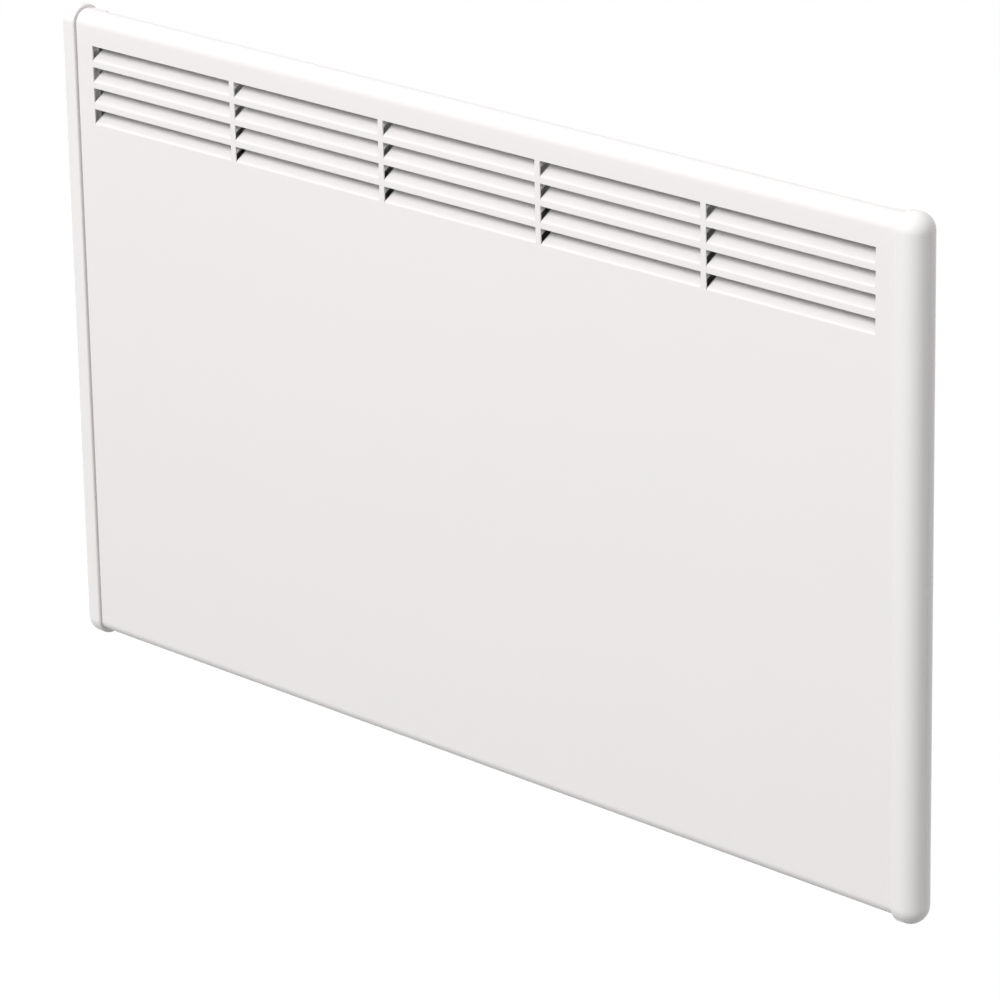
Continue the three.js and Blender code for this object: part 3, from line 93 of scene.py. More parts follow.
# ---- Front cover ----
# One steel sheet, rolled into a full bullnose at the top, turned under at the bottom and
# powder-coated white. Twenty louvres are lanced out of it, each blade bent back and up from its
# opening's lower edge.
cover_low, cover_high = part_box("front_cover")
cover_sheet = 0.8 * mm
bullnose_radius = (cover_high.y - cover_low.y) / 2
foot_radius = 6.4 * mm
lip_height = 10 * mm
lip_radius = 2.4 * mm
louvre_columns = 5
louvre_rows = 4
louvre_mullion = 4 * mm
louvre_side_margin = 13.7 * mm
louvre_height = 9.5 * mm
louvre_rail = 3.43 * mm
first_row_drop = 19.4 * mm
lance_gap = 0.3 * mm
blade_bend = 1.6 * mm
blade_turn = math.radians(57)
blade_reach = 10.4 * mm
# The numbers of a mix node's colour sockets.
mix_first, mix_second, mix_result = 6, 7, 2


def put_node(tree, kind, settings=None, **inputs):
    """A shader node with its settings and the values of its inputs."""
    node = tree.nodes.new(kind)
    for name, value in (settings or {}).items():
        setattr(node, name, value)
    for name, value in inputs.items():
        node.inputs[name.replace("_", " ")].default_value = value
    return node


def wire(tree, *wires):
    """Links outputs to inputs, each given as a node and a socket's name or number."""
    for start, output, end, socket in wires:
        tree.links.new(start.outputs[output], end.inputs[socket])


def new_group(name, inputs):
    """An empty node group for a surface, with its own inputs, and its two end nodes."""
    tree = bpy.data.node_groups.new(name, "ShaderNodeTree")
    for label, kind, value in inputs:
        socket = tree.interface.new_socket(label, in_out="INPUT", socket_type=f"NodeSocket{kind}")
        socket.default_value = value
    for label, kind in (("Colour", "Color"), ("Roughness", "Float"), ("Normal", "Vector")):
        tree.interface.new_socket(label, in_out="OUTPUT", socket_type=f"NodeSocket{kind}")
    return tree, tree.nodes.new("NodeGroupInput"), tree.nodes.new("NodeGroupOutput")


def finish_group(tree, given, made, place, gloss_scale, shade, second, relief, depth):
    """Adds what all surfaces share: a shade between two colours, uneven gloss and a relief."""
    gloss = put_node(tree, "ShaderNodeTexNoise", Detail=4, Scale=gloss_scale)
    tint = put_node(tree, "ShaderNodeMix", {"data_type": "RGBA"})
    spread = put_node(tree, "ShaderNodeMapRange", From_Min=0.3, From_Max=0.7)
    bump = put_node(tree, "ShaderNodeBump")
    wire(
        tree,
        (place, "Object", gloss, "Vector"),
        (*shade, tint, "Factor"),
        (given, "Colour", tint, mix_first),
        (given, second, tint, mix_second),
        (gloss, "Fac", spread, "Value"),
        (given, "Smoothest", spread, "To Min"),
        (given, "Roughest", spread, "To Max"),
        (relief, "Fac", bump, "Height"),
        (given, depth, bump, "Distance"),
        (tint, mix_result, made, "Colour"),
        (spread, "Result", made, "Roughness"),
        (bump, "Normal", made, "Normal"),
    )
    return tree


def skin_group():
    """A coated or moulded skin: two close colours in soft clouds, and a fine grain."""
    tree, given, made = new_group(
        "fine_skin",
        [
            ("Colour", "Color", (0.8, 0.8, 0.8, 1)),
            ("Cloud Colour", "Color", (0.75, 0.75, 0.75, 1)),
            ("Cloud Scale", "Float", 9),
            ("Smoothest", "Float", 0.35),
            ("Roughest", "Float", 0.45),
            ("Grain Scale", "Float", 700),
            ("Grain Depth", "Float", 0.00003),
        ],
    )
    place = put_node(tree, "ShaderNodeTexCoord")
    clouds = put_node(tree, "ShaderNodeTexNoise", Detail=3)
    grain = put_node(tree, "ShaderNodeTexNoise", Detail=2)
    wire(
        tree,
        (place, "Object", clouds, "Vector"),
        (place, "Object", grain, "Vector"),
        (given, "Cloud Scale", clouds, "Scale"),
        (given, "Grain Scale", grain, "Scale"),
    )
    return finish_group(
        tree, given, made, place, 35, (clouds, "Fac"), "Cloud Colour", grain, "Grain Depth"
    )


fine_skin = skin_group()


def skin_material(name, group=fine_skin, shading=None, **values):
    """A material whose colour, roughness and normal come from a group."""
    material = bpy.data.materials.new(name)
    material.use_nodes = True
    tree = material.node_tree
    shader = tree.nodes["Principled BSDF"]
    for label, value in (shading or {}).items():
        shader.inputs[label].default_value = value
    skin = put_node(tree, "ShaderNodeGroup", {"node_tree": group}, **values)
    wire(
        tree,
        (skin, "Colour", shader, "Base Color"),
        (skin, "Roughness", shader, "Roughness"),
        (skin, "Normal", shader, "Normal"),
    )
    return material


def new_verts(made):
    """The vertices among the things that an operator made."""
    return [item for item in made["geom"] if isinstance(item, bmesh.types.BMVert)]


def strip(bm, corners, x0, x1):
    """Sweeps a chain of corners, given in Y and Z, along X."""
    chain = [bm.verts.new((x0, y, z)) for y, z in corners]
    edges = [bm.edges.new(pair) for pair in zip(chain, chain[1:])]
    swept = bmesh.ops.extrude_edge_only(bm, edges=edges)
    bmesh.ops.translate(bm, verts=new_verts(swept), vec=(x1 - x0, 0, 0))


def edges_at(bm, **place):
    """The edges that lie wholly at the given x, y or z."""
    def lies(vertex):
        return all(abs(getattr(vertex.co, axis) - at) < 1e-6 for axis, at in place.items())

    return [edge for edge in bm.edges if all(lies(vertex) for vertex in edge.verts)]


def round_edges(bm, edges, radius, steps):
    bmesh.ops.bevel(
        bm, geom=edges, offset=radius, offset_type="OFFSET", segments=steps,
        profile=0.5, affect="EDGES", clamp_overlap=False, material=-1,
    )


def score(bm, picked, place, normal):
    """Scores a straight line across the picked faces."""
    faces = [face for face in bm.faces if picked(face)]
    edges = {edge for face in faces for edge in face.edges}
    verts = {vertex for face in faces for vertex in face.verts}
    bmesh.ops.bisect_plane(bm, geom=[*faces, *edges, *verts], plane_co=place, plane_no=normal)


def pull(bm, edges, dy, dz, draw_in=0.0):
    """Draws edges that run along X out into a new strip, and returns the strip's far edges."""
    drawn = bmesh.ops.extrude_edge_only(bm, edges=edges)
    verts = new_verts(drawn)
    far = [item for item in drawn["geom"] if isinstance(item, bmesh.types.BMEdge)]
    far = [edge for edge in far if set(edge.verts) <= set(verts)]
    bmesh.ops.translate(bm, verts=verts, vec=(0, dy, dz))
    for edge in far:
        first, last = sorted(edge.verts, key=lambda vertex: vertex.co.x)
        first.co.x += draw_in
        last.co.x -= draw_in
    return far


def make_piece(
    name, bm, material, slot, nodes, body="heater", sheet=0.0, soft=0.2 * mm, turn=True
):
    """Turns a bmesh into the piece that is shown for these CAD nodes."""
    bmesh.ops.remove_doubles(bm, verts=bm.verts, dist=1e-6)
    if turn:
        bmesh.ops.recalc_face_normals(bm, faces=bm.faces)
    for face in bm.faces:
        face.smooth = True
    for edge in bm.edges:
        edge.smooth = edge.calc_face_angle(0) < math.radians(35)
    mesh = bpy.data.meshes.new(name)
    bm.to_mesh(mesh)
    bm.free()
    mesh.materials.append(material)
    piece = put_object(name, mesh)
    if sheet:
        wall = piece.modifiers.new("sheet_thickness", "SOLIDIFY")
        wall.thickness = sheet
        wall.offset = -1
        wall.use_even_offset = True
    if soft:
        edge = piece.modifiers.new("soft_edges", "BEVEL")
        edge.width = soft
        edge.segments = 2
        edge.limit_method = "ANGLE"
        edge.angle_limit = math.radians(40)
        edge.use_clamp_overlap = True
        piece.modifiers.new("even_shading", "WEIGHTED_NORMAL").keep_sharp = True
    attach(piece, body)
    if nodes:
        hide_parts(*nodes)
    return piece


powder_coat = skin_material(
    "white_powder_coat", shading={"IOR": 1.46},
    Colour=(0.848, 0.824, 0.815, 1), Cloud_Colour=(0.836, 0.816, 0.808, 1),
    Smoothest=0.34, Roughest=0.44, Grain_Scale=620, Grain_Depth=0.00002,
)


def make_cover():
    front, rear = cover_low.y, cover_high.y
    top, bottom = cover_high.z, cover_low.z
    corners = [
        (rear, top - bullnose_radius - lip_height), (rear, top), (front, top),
        (front, bottom), (rear, bottom), (rear, bottom + lip_height),
    ]
    bm = bmesh.new()
    strip(bm, corners, cover_low.x, cover_high.x)
    roll = bullnose_radius * 0.999
    round_edges(bm, edges_at(bm, y=rear, z=top), roll, 12)
    round_edges(bm, edges_at(bm, y=front, z=top), roll, 12)
    round_edges(bm, edges_at(bm, y=front, z=bottom), foot_radius, 10)
    round_edges(bm, edges_at(bm, y=rear, z=bottom), lip_radius, 5)
    bmesh.ops.remove_doubles(bm, verts=bm.verts, dist=0.04 * mm)

    def on_front(face):
        return all(abs(vertex.co.y - front) < 1e-6 for vertex in face.verts)

    width = cover_high.x - cover_low.x
    pitch = (width - 2 * louvre_side_margin + louvre_mullion) / louvre_columns
    length = pitch - louvre_mullion
    first = cover_low.x + louvre_side_margin
    starts = [first + pitch * column for column in range(louvre_columns)]
    row_pitch = louvre_height + louvre_rail
    tops = [top - first_row_drop - row_pitch * row for row in range(louvre_rows)]
    for start in starts:
        score(bm, on_front, (start, front, 0), (1, 0, 0))
        score(bm, on_front, (start + length, front, 0), (1, 0, 0))
    for row_top in tops:
        score(bm, on_front, (0, front, row_top), (0, 0, 1))
        score(bm, on_front, (0, front, row_top - louvre_height), (0, 0, 1))

    def in_opening(point):
        across = any(start < point.x < start + length for start in starts)
        return across and any(row_top - louvre_height < point.z < row_top for row_top in tops)

    faces = [face for face in bm.faces if on_front(face)]
    lanced = [face for face in faces if in_opening(face.calc_center_median())]
    bmesh.ops.delete(bm, geom=lanced, context="FACES")
    blades = [
        edge for row_top in tops for edge in edges_at(bm, y=front, z=row_top - louvre_height)
        if len(edge.link_faces) == 1
    ]
    steps = 6
    for step in range(steps):
        before, after = blade_turn * step / steps, blade_turn * (step + 1) / steps
        back = blade_bend * (math.cos(before) - math.cos(after))
        up = blade_bend * (math.sin(after) - math.sin(before))
        blades = pull(bm, blades, back, up, lance_gap if step == 0 else 0.0)
    rest = blade_reach - blade_bend * (1 - math.cos(blade_turn))
    pull(bm, blades, rest, rest / math.tan(blade_turn))
    bmesh.ops.recalc_face_normals(bm, faces=bm.faces)
    if next(face for face in bm.faces if on_front(face)).normal.y > 0:
        bmesh.ops.reverse_faces(bm, faces=bm.faces)
    return bm


make_piece(
    "louvred_cover", make_cover(), powder_coat, "white_steel", ["front_cover"],
    sheet=cover_sheet, soft=0.12 * mm, turn=False,
)

# ---- End caps ----
# Moulded in white plastic with a fine satin face. Each one pushes its thin spigot into the cover's
# end and is held by two screws that go through the housing's flange into its ears.
cap_width = 15.25 * mm
cap_depth = 21.5 * mm
cap_corner = 10.6 * mm
cap_outer_edge = 9.8 * mm
cap_inner_edge = 0.9 * mm
spigot_wall = 1.6 * mm
spigot_back = 2.2 * mm
ear_inset = 34 * mm
ear_half = 4.5 * mm
ear_depth = 9 * mm
ear_overlap = 3 * mm
seat = 0.3 * mm

satin_plastic = skin_material(
    "white_satin_plastic", shading={"IOR": 1.49},
    Colour=(0.862, 0.842, 0.832, 1), Cloud_Colour=(0.85, 0.832, 0.824, 1), Cloud_Scale=14,
    Smoothest=0.2, Roughest=0.28, Grain_Scale=1900, Grain_Depth=0.00001,
)


def put_block(bm, low, high):
    """A plain block between two corners. Returns its faces."""
    low, high = Vector(low), Vector(high)
    size = Matrix.Diagonal((high - low).to_4d())
    size[3][3] = 1
    verts = bmesh.ops.create_cube(
        bm, size=1, matrix=Matrix.Translation((low + high) / 2) @ size
    )["verts"]
    return list({face for vertex in verts for face in vertex.link_faces})


def join(bm, other):
    """Adds another shape to this one."""
    mesh = bpy.data.meshes.new("joined")
    other.to_mesh(mesh)
    other.free()
    bm.from_mesh(mesh)
    bpy.data.meshes.remove(mesh)


def make_cap():
    """The right-hand cap. The left-hand one is its mirror image."""
    low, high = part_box("end_cap_right")
    start = high.x - cap_width
    bm = bmesh.new()
    put_block(bm, (start, low.y, low.z), (high.x, low.y + cap_depth, high.z))
    along = [e for e in bm.edges if abs(e.verts[0].co.x - e.verts[1].co.x) > 1e-6]
    round_edges(bm, along, cap_corner, 10)
    round_edges(bm, edges_at(bm, x=high.x), cap_outer_edge, 10)
    round_edges(bm, edges_at(bm, x=start), cap_inner_edge, 3)

    inner = cover_sheet + seat
    front, rear = cover_low.y + inner, cover_high.y - spigot_back
    top, bottom = cover_high.z - inner, cover_low.z + inner
    spigot = bmesh.new()
    strip(spigot, [(rear, top), (front, top), (front, bottom), (rear, bottom)], low.x, start + mm)
    round_edges(spigot, edges_at(spigot, y=front, z=top), bullnose_radius - inner, 8)
    round_edges(spigot, edges_at(spigot, y=front, z=bottom), foot_radius - inner, 6)
    bmesh.ops.recalc_face_normals(spigot, faces=spigot.faces)
    bmesh.ops.solidify(spigot, geom=spigot.faces[:], thickness=spigot_wall)
    join(bm, spigot)
    for ear in (high.z - ear_inset, low.z + ear_inset):
        inside, outside = (low.x, rear - ear_depth), (start + ear_overlap, rear)
        put_block(bm, (*inside, ear - ear_half), (*outside, ear + ear_half))
    return bm


def mirrored(bm):
    """A copy of a shape, mirrored across the heater's middle."""
    other = bm.copy()
    bmesh.ops.scale(other, verts=other.verts, vec=(-1, 1, 1))
    bmesh.ops.reverse_faces(other, faces=other.faces)
    return other


def make_pair(name, bm, material, slot, node, bodies=("heater", "heater"), **finish):
    """A piece and its mirror image, for the nodes whose names end in right and left."""
    for side, shape, body in zip(("right", "left"), (bm, mirrored(bm)), bodies):
        make_piece(f"{name}_{side}", shape, material, slot, [f"{node}_{side}"], body, **finish)


make_pair("moulded_cap", make_cap(), satin_plastic, "white_plastic", "end_cap")

# ---- Rear housing ----
# A tray pressed from zinc-coated sheet with a flange all round. Slots under it let the air in, and
# the wall bracket's hooks and locks reach through slots in its back.
housing_low, housing_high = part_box("rear_housing")
housing_sheet = 0.8 * mm
flange_side = 14.5 * mm
flange_lap = 11 * mm
tray_corner = 8 * mm
back_bend = 3 * mm
flange_bend = 1.2 * mm
intake_width = 5 * mm
intake_pitch = 12 * mm
intake_count = 30
intake_start = 24 * mm
intake_margin = 3.5 * mm
hook_height = 8 * mm
hook_play = 1.05 * mm
hook_slot = (24 * mm, 10 * mm)
tongue_thick = 2.5 * mm
tongue_play = 1.2 * mm
lock_slot = (20 * mm, 5.4 * mm)
lock_offset = 5 * mm
slot_corner = 1.5 * mm
barb_hole = 2.9 * mm
module_lap = (2.7 * mm, 0.9 * mm)
gland_hole = 6.3 * mm
upright_x = 150 * mm


def metal_group():
    """Rolled and coated metal: patches of two greys, and fine lines along one axis."""
    tree, given, made = new_group(
        "rolled_metal",
        [
            ("Colour", "Color", (0.6, 0.6, 0.6, 1)),
            ("Patch Colour", "Color", (0.5, 0.5, 0.5, 1)),
            ("Patch Scale", "Float", 120),
            ("Line Stretch", "Vector", (20, 900, 900)),
            ("Line Depth", "Float", 0.00002),
            ("Smoothest", "Float", 0.25),
            ("Roughest", "Float", 0.45),
        ],
    )
    place = put_node(tree, "ShaderNodeTexCoord")
    patches = put_node(tree, "ShaderNodeTexVoronoi")
    shade = put_node(tree, "ShaderNodeSeparateColor")
    stretch = put_node(tree, "ShaderNodeVectorMath", {"operation": "MULTIPLY"})
    lines = put_node(tree, "ShaderNodeTexNoise", Detail=2, Scale=1)
    wire(
        tree,
        (place, "Object", patches, "Vector"),
        (place, "Object", stretch, 0),
        (given, "Line Stretch", stretch, 1),
        (stretch, "Vector", lines, "Vector"),
        (given, "Patch Scale", patches, "Scale"),
        (patches, "Color", shade, "Color"),
    )
    return finish_group(
        tree, given, made, place, 60, (shade, "Red"), "Patch Colour", lines, "Line Depth"
    )


rolled_metal = metal_group()
zinc_sheet = skin_material(
    "zinc_coated_sheet", rolled_metal, {"Metallic": 0.7},
    Colour=(0.42, 0.43, 0.44, 1), Patch_Colour=(0.36, 0.37, 0.38, 1), Patch_Scale=130,
    Smoothest=0.52, Roughest=0.66,
)


def add_rounded(bm, low, high, axis, radius, steps=5):
    """A block whose four edges along one axis are rounded."""
    edges = {edge for face in put_block(bm, low, high) for edge in face.edges}
    lengths = {edge: edge.verts[0].co[axis] - edge.verts[1].co[axis] for edge in edges}
    round_edges(bm, [edge for edge in edges if abs(lengths[edge]) > 1e-7], radius, steps)


def spin(bm, profile, centre, axis, steps=40, closed=False):
    """Spins a profile of radius and height pairs about the x, y or z axis through centre."""
    along = Vector([float(axis == name) for name in "xyz"])
    side = Vector((0, 0, 1)) if axis == "x" else Vector((1, 0, 0))
    centre = Vector(centre)
    chain = [bm.verts.new(centre + side * radius + along * height) for radius, height in profile]
    edges = [bm.edges.new(pair) for pair in zip(chain, chain[1:])]
    if closed:
        edges.append(bm.edges.new((chain[-1], chain[0])))
    bmesh.ops.spin(
        bm, geom=[*chain, *edges], cent=centre, axis=along, angle=math.tau, steps=steps,
        use_merge=True,
    )


def plug(radius, low, high):
    """The profile of a plain round plug."""
    return [(0, low), (radius, low), (radius, high), (0, high)]


def as_object(bm):
    """Puts a closed shape into an object for a moment."""
    bmesh.ops.remove_doubles(bm, verts=bm.verts, dist=1e-6)
    bmesh.ops.recalc_face_normals(bm, faces=bm.faces)
    mesh = bpy.data.meshes.new("blank")
    bm.to_mesh(mesh)
    bm.free()
    return put_object("blank", mesh)


def pierce(bm, tool):
    """Cuts the tool's shapes out of a closed shape, and returns what is left."""
    blank, punch = as_object(bm), as_object(tool)
    cut = blank.modifiers.new("cut", "BOOLEAN")
    cut.object = punch
    cut.operation = "DIFFERENCE"
    cut.solver = "EXACT"
    left = bmesh.new()
    left.from_object(blank, bpy.context.evaluated_depsgraph_get())
    for item in (blank, punch):
        mesh = item.data
        bpy.data.objects.remove(item)
        bpy.data.meshes.remove(mesh)
    bmesh.ops.dissolve_limit(
        left, angle_limit=math.radians(0.5), verts=left.verts, edges=left.edges
    )
    return left


def thicken(bm, sheet, inside):
    """Gives an open surface its wall, on the side where the point lies."""
    bmesh.ops.remove_doubles(bm, verts=bm.verts, dist=1e-6)
    bmesh.ops.recalc_face_normals(bm, faces=bm.faces)
    widest = max(bm.faces, key=lambda face: face.calc_area())
    towards = widest.normal.dot(Vector(inside) - widest.calc_center_median())
    bmesh.ops.solidify(bm, geom=bm.faces[:], thickness=math.copysign(sheet, -towards))


def make_housing():
    half = housing_high.x - flange_side
    low, high = housing_low.z + flange_lap, housing_high.z - flange_lap
    front, back = housing_low.y + housing_sheet, housing_high.y
    bm = bmesh.new()
    add_rounded(bm, (-half, front, low), (half, back, high), 1, tray_corner, 8)
    inner_face = [f for f in bm.faces if all(abs(v.co.y - front) < 1e-6 for v in f.verts)]
    bmesh.ops.delete(bm, geom=inner_face, context="FACES_ONLY")
    round_edges(bm, edges_at(bm, y=back), back_bend, 5)
    rim = [edge for edge in edges_at(bm, y=front) if len(edge.link_faces) == 1]
    drawn = bmesh.ops.extrude_edge_only(bm, edges=rim)
    middle = (low + high) / 2
    for vertex in new_verts(drawn):
        vertex.co.x += math.copysign(flange_side, vertex.co.x)
        vertex.co.z += math.copysign(flange_lap, vertex.co.z - middle)

    def is_bend(edge):
        tilts = [face.normal.y for face in edge.link_faces]
        return len(tilts) == 2 and abs(tilts[0] - tilts[1]) > 0.5

    bends = [edge for edge in edges_at(bm, y=front) if is_bend(edge)]
    round_edges(bm, bends, flange_bend, 4)
    thicken(bm, housing_sheet, (0, front, middle))

    holes = bmesh.new()
    floor_low, floor_high = low - mm, low + 2 * mm
    back_low, back_high = back - 2 * mm, back + mm
    start = -half + intake_start
    slot_front, slot_back = front + intake_margin, back - back_bend - intake_margin
    for index in range(intake_count):
        x = start + index * intake_pitch
        add_rounded(
            holes, (x, slot_front, floor_low), (x + intake_width, slot_back, floor_high), 2,
            intake_width * 0.48,
        )
    hook_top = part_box("bracket_upright_right")[1].z - hook_height + hook_play
    lock_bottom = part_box("bracket_lock_right")[1].z - tongue_thick - tongue_play
    for side in (1, -1):
        x = side * upright_x
        add_rounded(
            holes, (x - hook_slot[0] / 2, back_low, hook_top - hook_slot[1]),
            (x + hook_slot[0] / 2, back_high, hook_top), 1, slot_corner,
        )
        inner, outer = sorted((x - side * lock_offset, x + side * (lock_slot[0] - lock_offset)))
        add_rounded(
            holes, (inner, back_low, lock_bottom),
            (outer, back_high, lock_bottom + lock_slot[1]), 1, slot_corner,
        )
        pad_low, pad_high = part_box(f"wall_bumper_{'right' if side > 0 else 'left'}")
        pad = (pad_low + pad_high) / 2
        spin(holes, plug(barb_hole, -mm, 3 * mm), (pad.x, back_low, pad.z), "y", 20)
    module_low, module_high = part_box("control_housing")
    add_rounded(
        holes, (module_low.x + module_lap[0], module_low.y + module_lap[1], floor_low),
        (module_high.x - module_lap[0], module_high.y - module_lap[1], floor_high), 2, mm,
    )
    gland_low, gland_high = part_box("cord_gland")
    gland = (gland_low + gland_high) / 2
    spin(holes, plug(gland_hole, -mm, 2 * mm), (gland.x, gland.y, low), "z", 28)
    return pierce(bm, holes)


make_piece(
    "pressed_housing", make_housing(), zinc_sheet, "zinc_steel", ["rear_housing"],
    soft=0.12 * mm,
)

# ---- Screws ----
# Zinc-plated pan-head screws with a cross recess. Four hold the end caps through the housing's
# flange, and three hold the cover's bottom lip to it.
screw_length = 8 * mm
screw_radius = 1.5 * mm
head_radius = 3 * mm
head_height = 2.2 * mm
thread_pitch = mm
thread_turns = 5
head_edge = 0.7 * mm
recess_depth = 1.2 * mm

zinc_plate = skin_material(
    "zinc_plated_steel", rolled_metal, {"Metallic": 1.0},
    Colour=(0.6, 0.605, 0.6, 1), Patch_Colour=(0.54, 0.55, 0.55, 1), Patch_Scale=900,
    Line_Stretch=(700, 700, 60), Line_Depth=0.000008, Smoothest=0.2, Roughest=0.36,
)


def spun(profile, centre, axis, steps=40, closed=False):
    """A new shape, spun from a profile."""
    bm = bmesh.new()
    spin(bm, profile, centre, axis, steps, closed)
    return bm


def make_screw():
    """A screw whose head seats at the origin, driven towards the front."""
    profile = [(0, -screw_length), (screw_radius * 0.5, 0.8 * mm - screw_length)]
    for turn in range(thread_turns):
        low = 1.6 * mm - screw_length + turn * thread_pitch
        profile += [(screw_radius * 0.78, low), (screw_radius, low + thread_pitch / 2)]
    profile += [(screw_radius * 0.78, -0.6 * mm), (screw_radius * 0.9, 0), (head_radius, 0)]
    for angle in (math.pi / 2 * step / 5 for step in range(6)):
        radius = head_radius * (0.62 + 0.38 * math.cos(angle))
        profile.append((radius, head_edge + (head_height - head_edge) * math.sin(angle)))
    profile.append((0, head_height))
    screw = spun(profile, (0, 0, 0), "y", 24)
    deep, wide, thin = head_height - recess_depth, 1.7 * mm, 0.35 * mm
    for x, z in ((wide, thin), (thin, wide)):
        cross = bmesh.new()
        put_block(cross, (-x, deep, -z), (x, head_height + mm, z))
        screw = pierce(screw, cross)
    return screw


screw_shape = make_screw()
screw_nodes = [
    f"cap_screw_{level}_{side}" for side in ("right", "left") for level in ("upper", "lower")
]
for node in [*screw_nodes, "cover_screw_1", "cover_screw_2", "cover_screw_3"]:
    low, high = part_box(node)
    screw = screw_shape.copy()
    place = Vector(((low.x + high.x) / 2, high.y - head_height, (low.z + high.z) / 2))
    bmesh.ops.translate(screw, verts=screw.verts, vec=place)
    name = node.replace("screw", "cross_screw")
    make_piece(name, screw, zinc_plate, "zinc_steel", [node], soft=0.0)
screw_shape.free()

# ---- Wall bracket ----
# A channel rail and two straps bent from 1.5 mm zinc-coated sheet. Each strap ends in a hook at its
# top and in a shelf for a lock at its foot, and screws go through the long and the round holes to
# the wall.
bracket_sheet = 1.5 * mm
rail_low, rail_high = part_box("bracket_rail")
upright_low, upright_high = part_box("bracket_upright_right")
outer_bend = 2.2 * mm
hook_width = 18 * mm
wall_hole = 3.25 * mm
wall_hole_inset = 26 * mm
long_hole = 14 * mm
long_hole_x = 80 * mm


def make_rail():
    bm = bmesh.new()
    front, low, high = rail_low.y, rail_low.z, rail_high.z
    strip(bm, [(front, low), (0, low), (0, high), (front, high)], rail_low.x, rail_high.x)
    round_edges(bm, edges_at(bm, y=0, z=low) + edges_at(bm, y=0, z=high), outer_bend, 5)
    thicken(bm, bracket_sheet, (0, front, 0))
    holes = bmesh.new()
    for x in (long_hole_x, -long_hole_x):
        add_rounded(
            holes, (x - long_hole / 2, -3 * mm, -wall_hole),
            (x + long_hole / 2, mm, wall_hole), 1, wall_hole * 0.98, 8,
        )
    return pierce(bm, holes)


def make_upright():
    """The right-hand strap. The left-hand one is its mirror image."""
    bm = bmesh.new()
    foot, top = upright_low.z, upright_high.z
    arm = top - hook_height + bracket_sheet / 2
    shelf_edge = housing_high.y + seat
    tongue = upright_low.y + bracket_sheet
    strip(
        bm, [(shelf_edge, foot), (0, foot), (0, arm), (tongue, arm), (tongue, top)],
        upright_low.x, upright_high.x,
    )
    round_edges(bm, edges_at(bm, y=0, z=foot) + edges_at(bm, y=0, z=arm), outer_bend, 5)
    round_edges(bm, edges_at(bm, y=tongue, z=arm), 0.5 * mm, 3)
    thicken(bm, bracket_sheet, (upright_x, tongue, 0))
    holes = bmesh.new()
    trim = (upright_high.x - upright_low.x - hook_width) / 2
    for x in (upright_low.x - mm, upright_high.x - trim):
        put_block(
            holes, (x, upright_low.y - mm, arm - 4 * mm),
            (x + trim + mm, -2 * bracket_sheet, top + mm),
        )
    hole = plug(wall_hole, -mm, 4 * mm)
    half = bracket_sheet / 2
    for z in (arm - half - wall_hole_inset, foot + half + wall_hole_inset):
        spin(holes, hole, (upright_x, -3 * mm, z), "y", 28)
    spin(holes, hole, (upright_x, -6 * mm, foot - mm), "z", 28)
    return pierce(bm, holes)


make_piece(
    "channel_rail", make_rail(), zinc_sheet, "zinc_steel", ["bracket_rail"], soft=0.15 * mm
)
make_pair(
    "hook_strap", make_upright(), zinc_sheet, "zinc_steel", "bracket_upright", soft=0.15 * mm
)

# ---- Bracket locks ----
# Moulded grey plastic. A quarter turn with a screwdriver swings the tongue from along the housing's
# back into its slot, over the edge of the slot, so the heater can't lift off its hooks.
lock_low, lock_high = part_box("bracket_lock_right")
lock_shaft_y = -6 * mm
tongue_reach = 12 * mm
tongue_width = 7 * mm
lock_head_height = 5 * mm

grey_moulding = skin_material(
    "grey_moulding", Colour=(0.105, 0.11, 0.118, 1), Cloud_Colour=(0.09, 0.095, 0.102, 1),
    Cloud_Scale=60, Smoothest=0.42, Roughest=0.56, Grain_Scale=2600, Grain_Depth=0.00002,
)


def make_lock():
    """The right-hand lock. The left-hand one is its mirror image."""
    bottom, top = lock_low.z, lock_high.z
    head_top, tongue_low = bottom + lock_head_height, top - tongue_thick
    profile = [
        (0, bottom), (4 * mm, bottom), (4.8 * mm, bottom + 0.8 * mm), (4.8 * mm, head_top),
        (3 * mm, head_top), (3 * mm, tongue_low), (4 * mm, tongue_low), (4 * mm, top), (0, top),
    ]
    slot = bmesh.new()
    put_block(
        slot, (upright_x - 6 * mm, lock_shaft_y - 0.7 * mm, bottom - mm),
        (upright_x + 6 * mm, lock_shaft_y + 0.7 * mm, bottom + 1.8 * mm),
    )
    lock = pierce(spun(profile, (upright_x, lock_shaft_y, 0), "z", 36), slot)
    half, inside = tongue_width / 2, 0.05 * mm
    add_rounded(
        lock, (upright_x - half, lock_shaft_y - tongue_reach, tongue_low + inside),
        (upright_x + half, lock_shaft_y, top - inside), 2, 2.1 * mm,
    )
    return lock


make_pair(
    "quarter_turn_lock", make_lock(), grey_moulding, "grey_plastic", "bracket_lock",
    bodies=("bracket_lock_right", "bracket_lock_left"),
)

# ---- Rubber wall bumpers ----
# Soft black rubber feet that keep the housing's bottom off the wall. A barb on each is pulled
# through a hole in the housing's back.
black_rubber = skin_material(
    "black_rubber", Colour=(0.022, 0.022, 0.024, 1), Cloud_Colour=(0.032, 0.032, 0.034, 1),
    Cloud_Scale=90, Smoothest=0.62, Roughest=0.8, Grain_Scale=1800, Grain_Depth=0.00003,
)


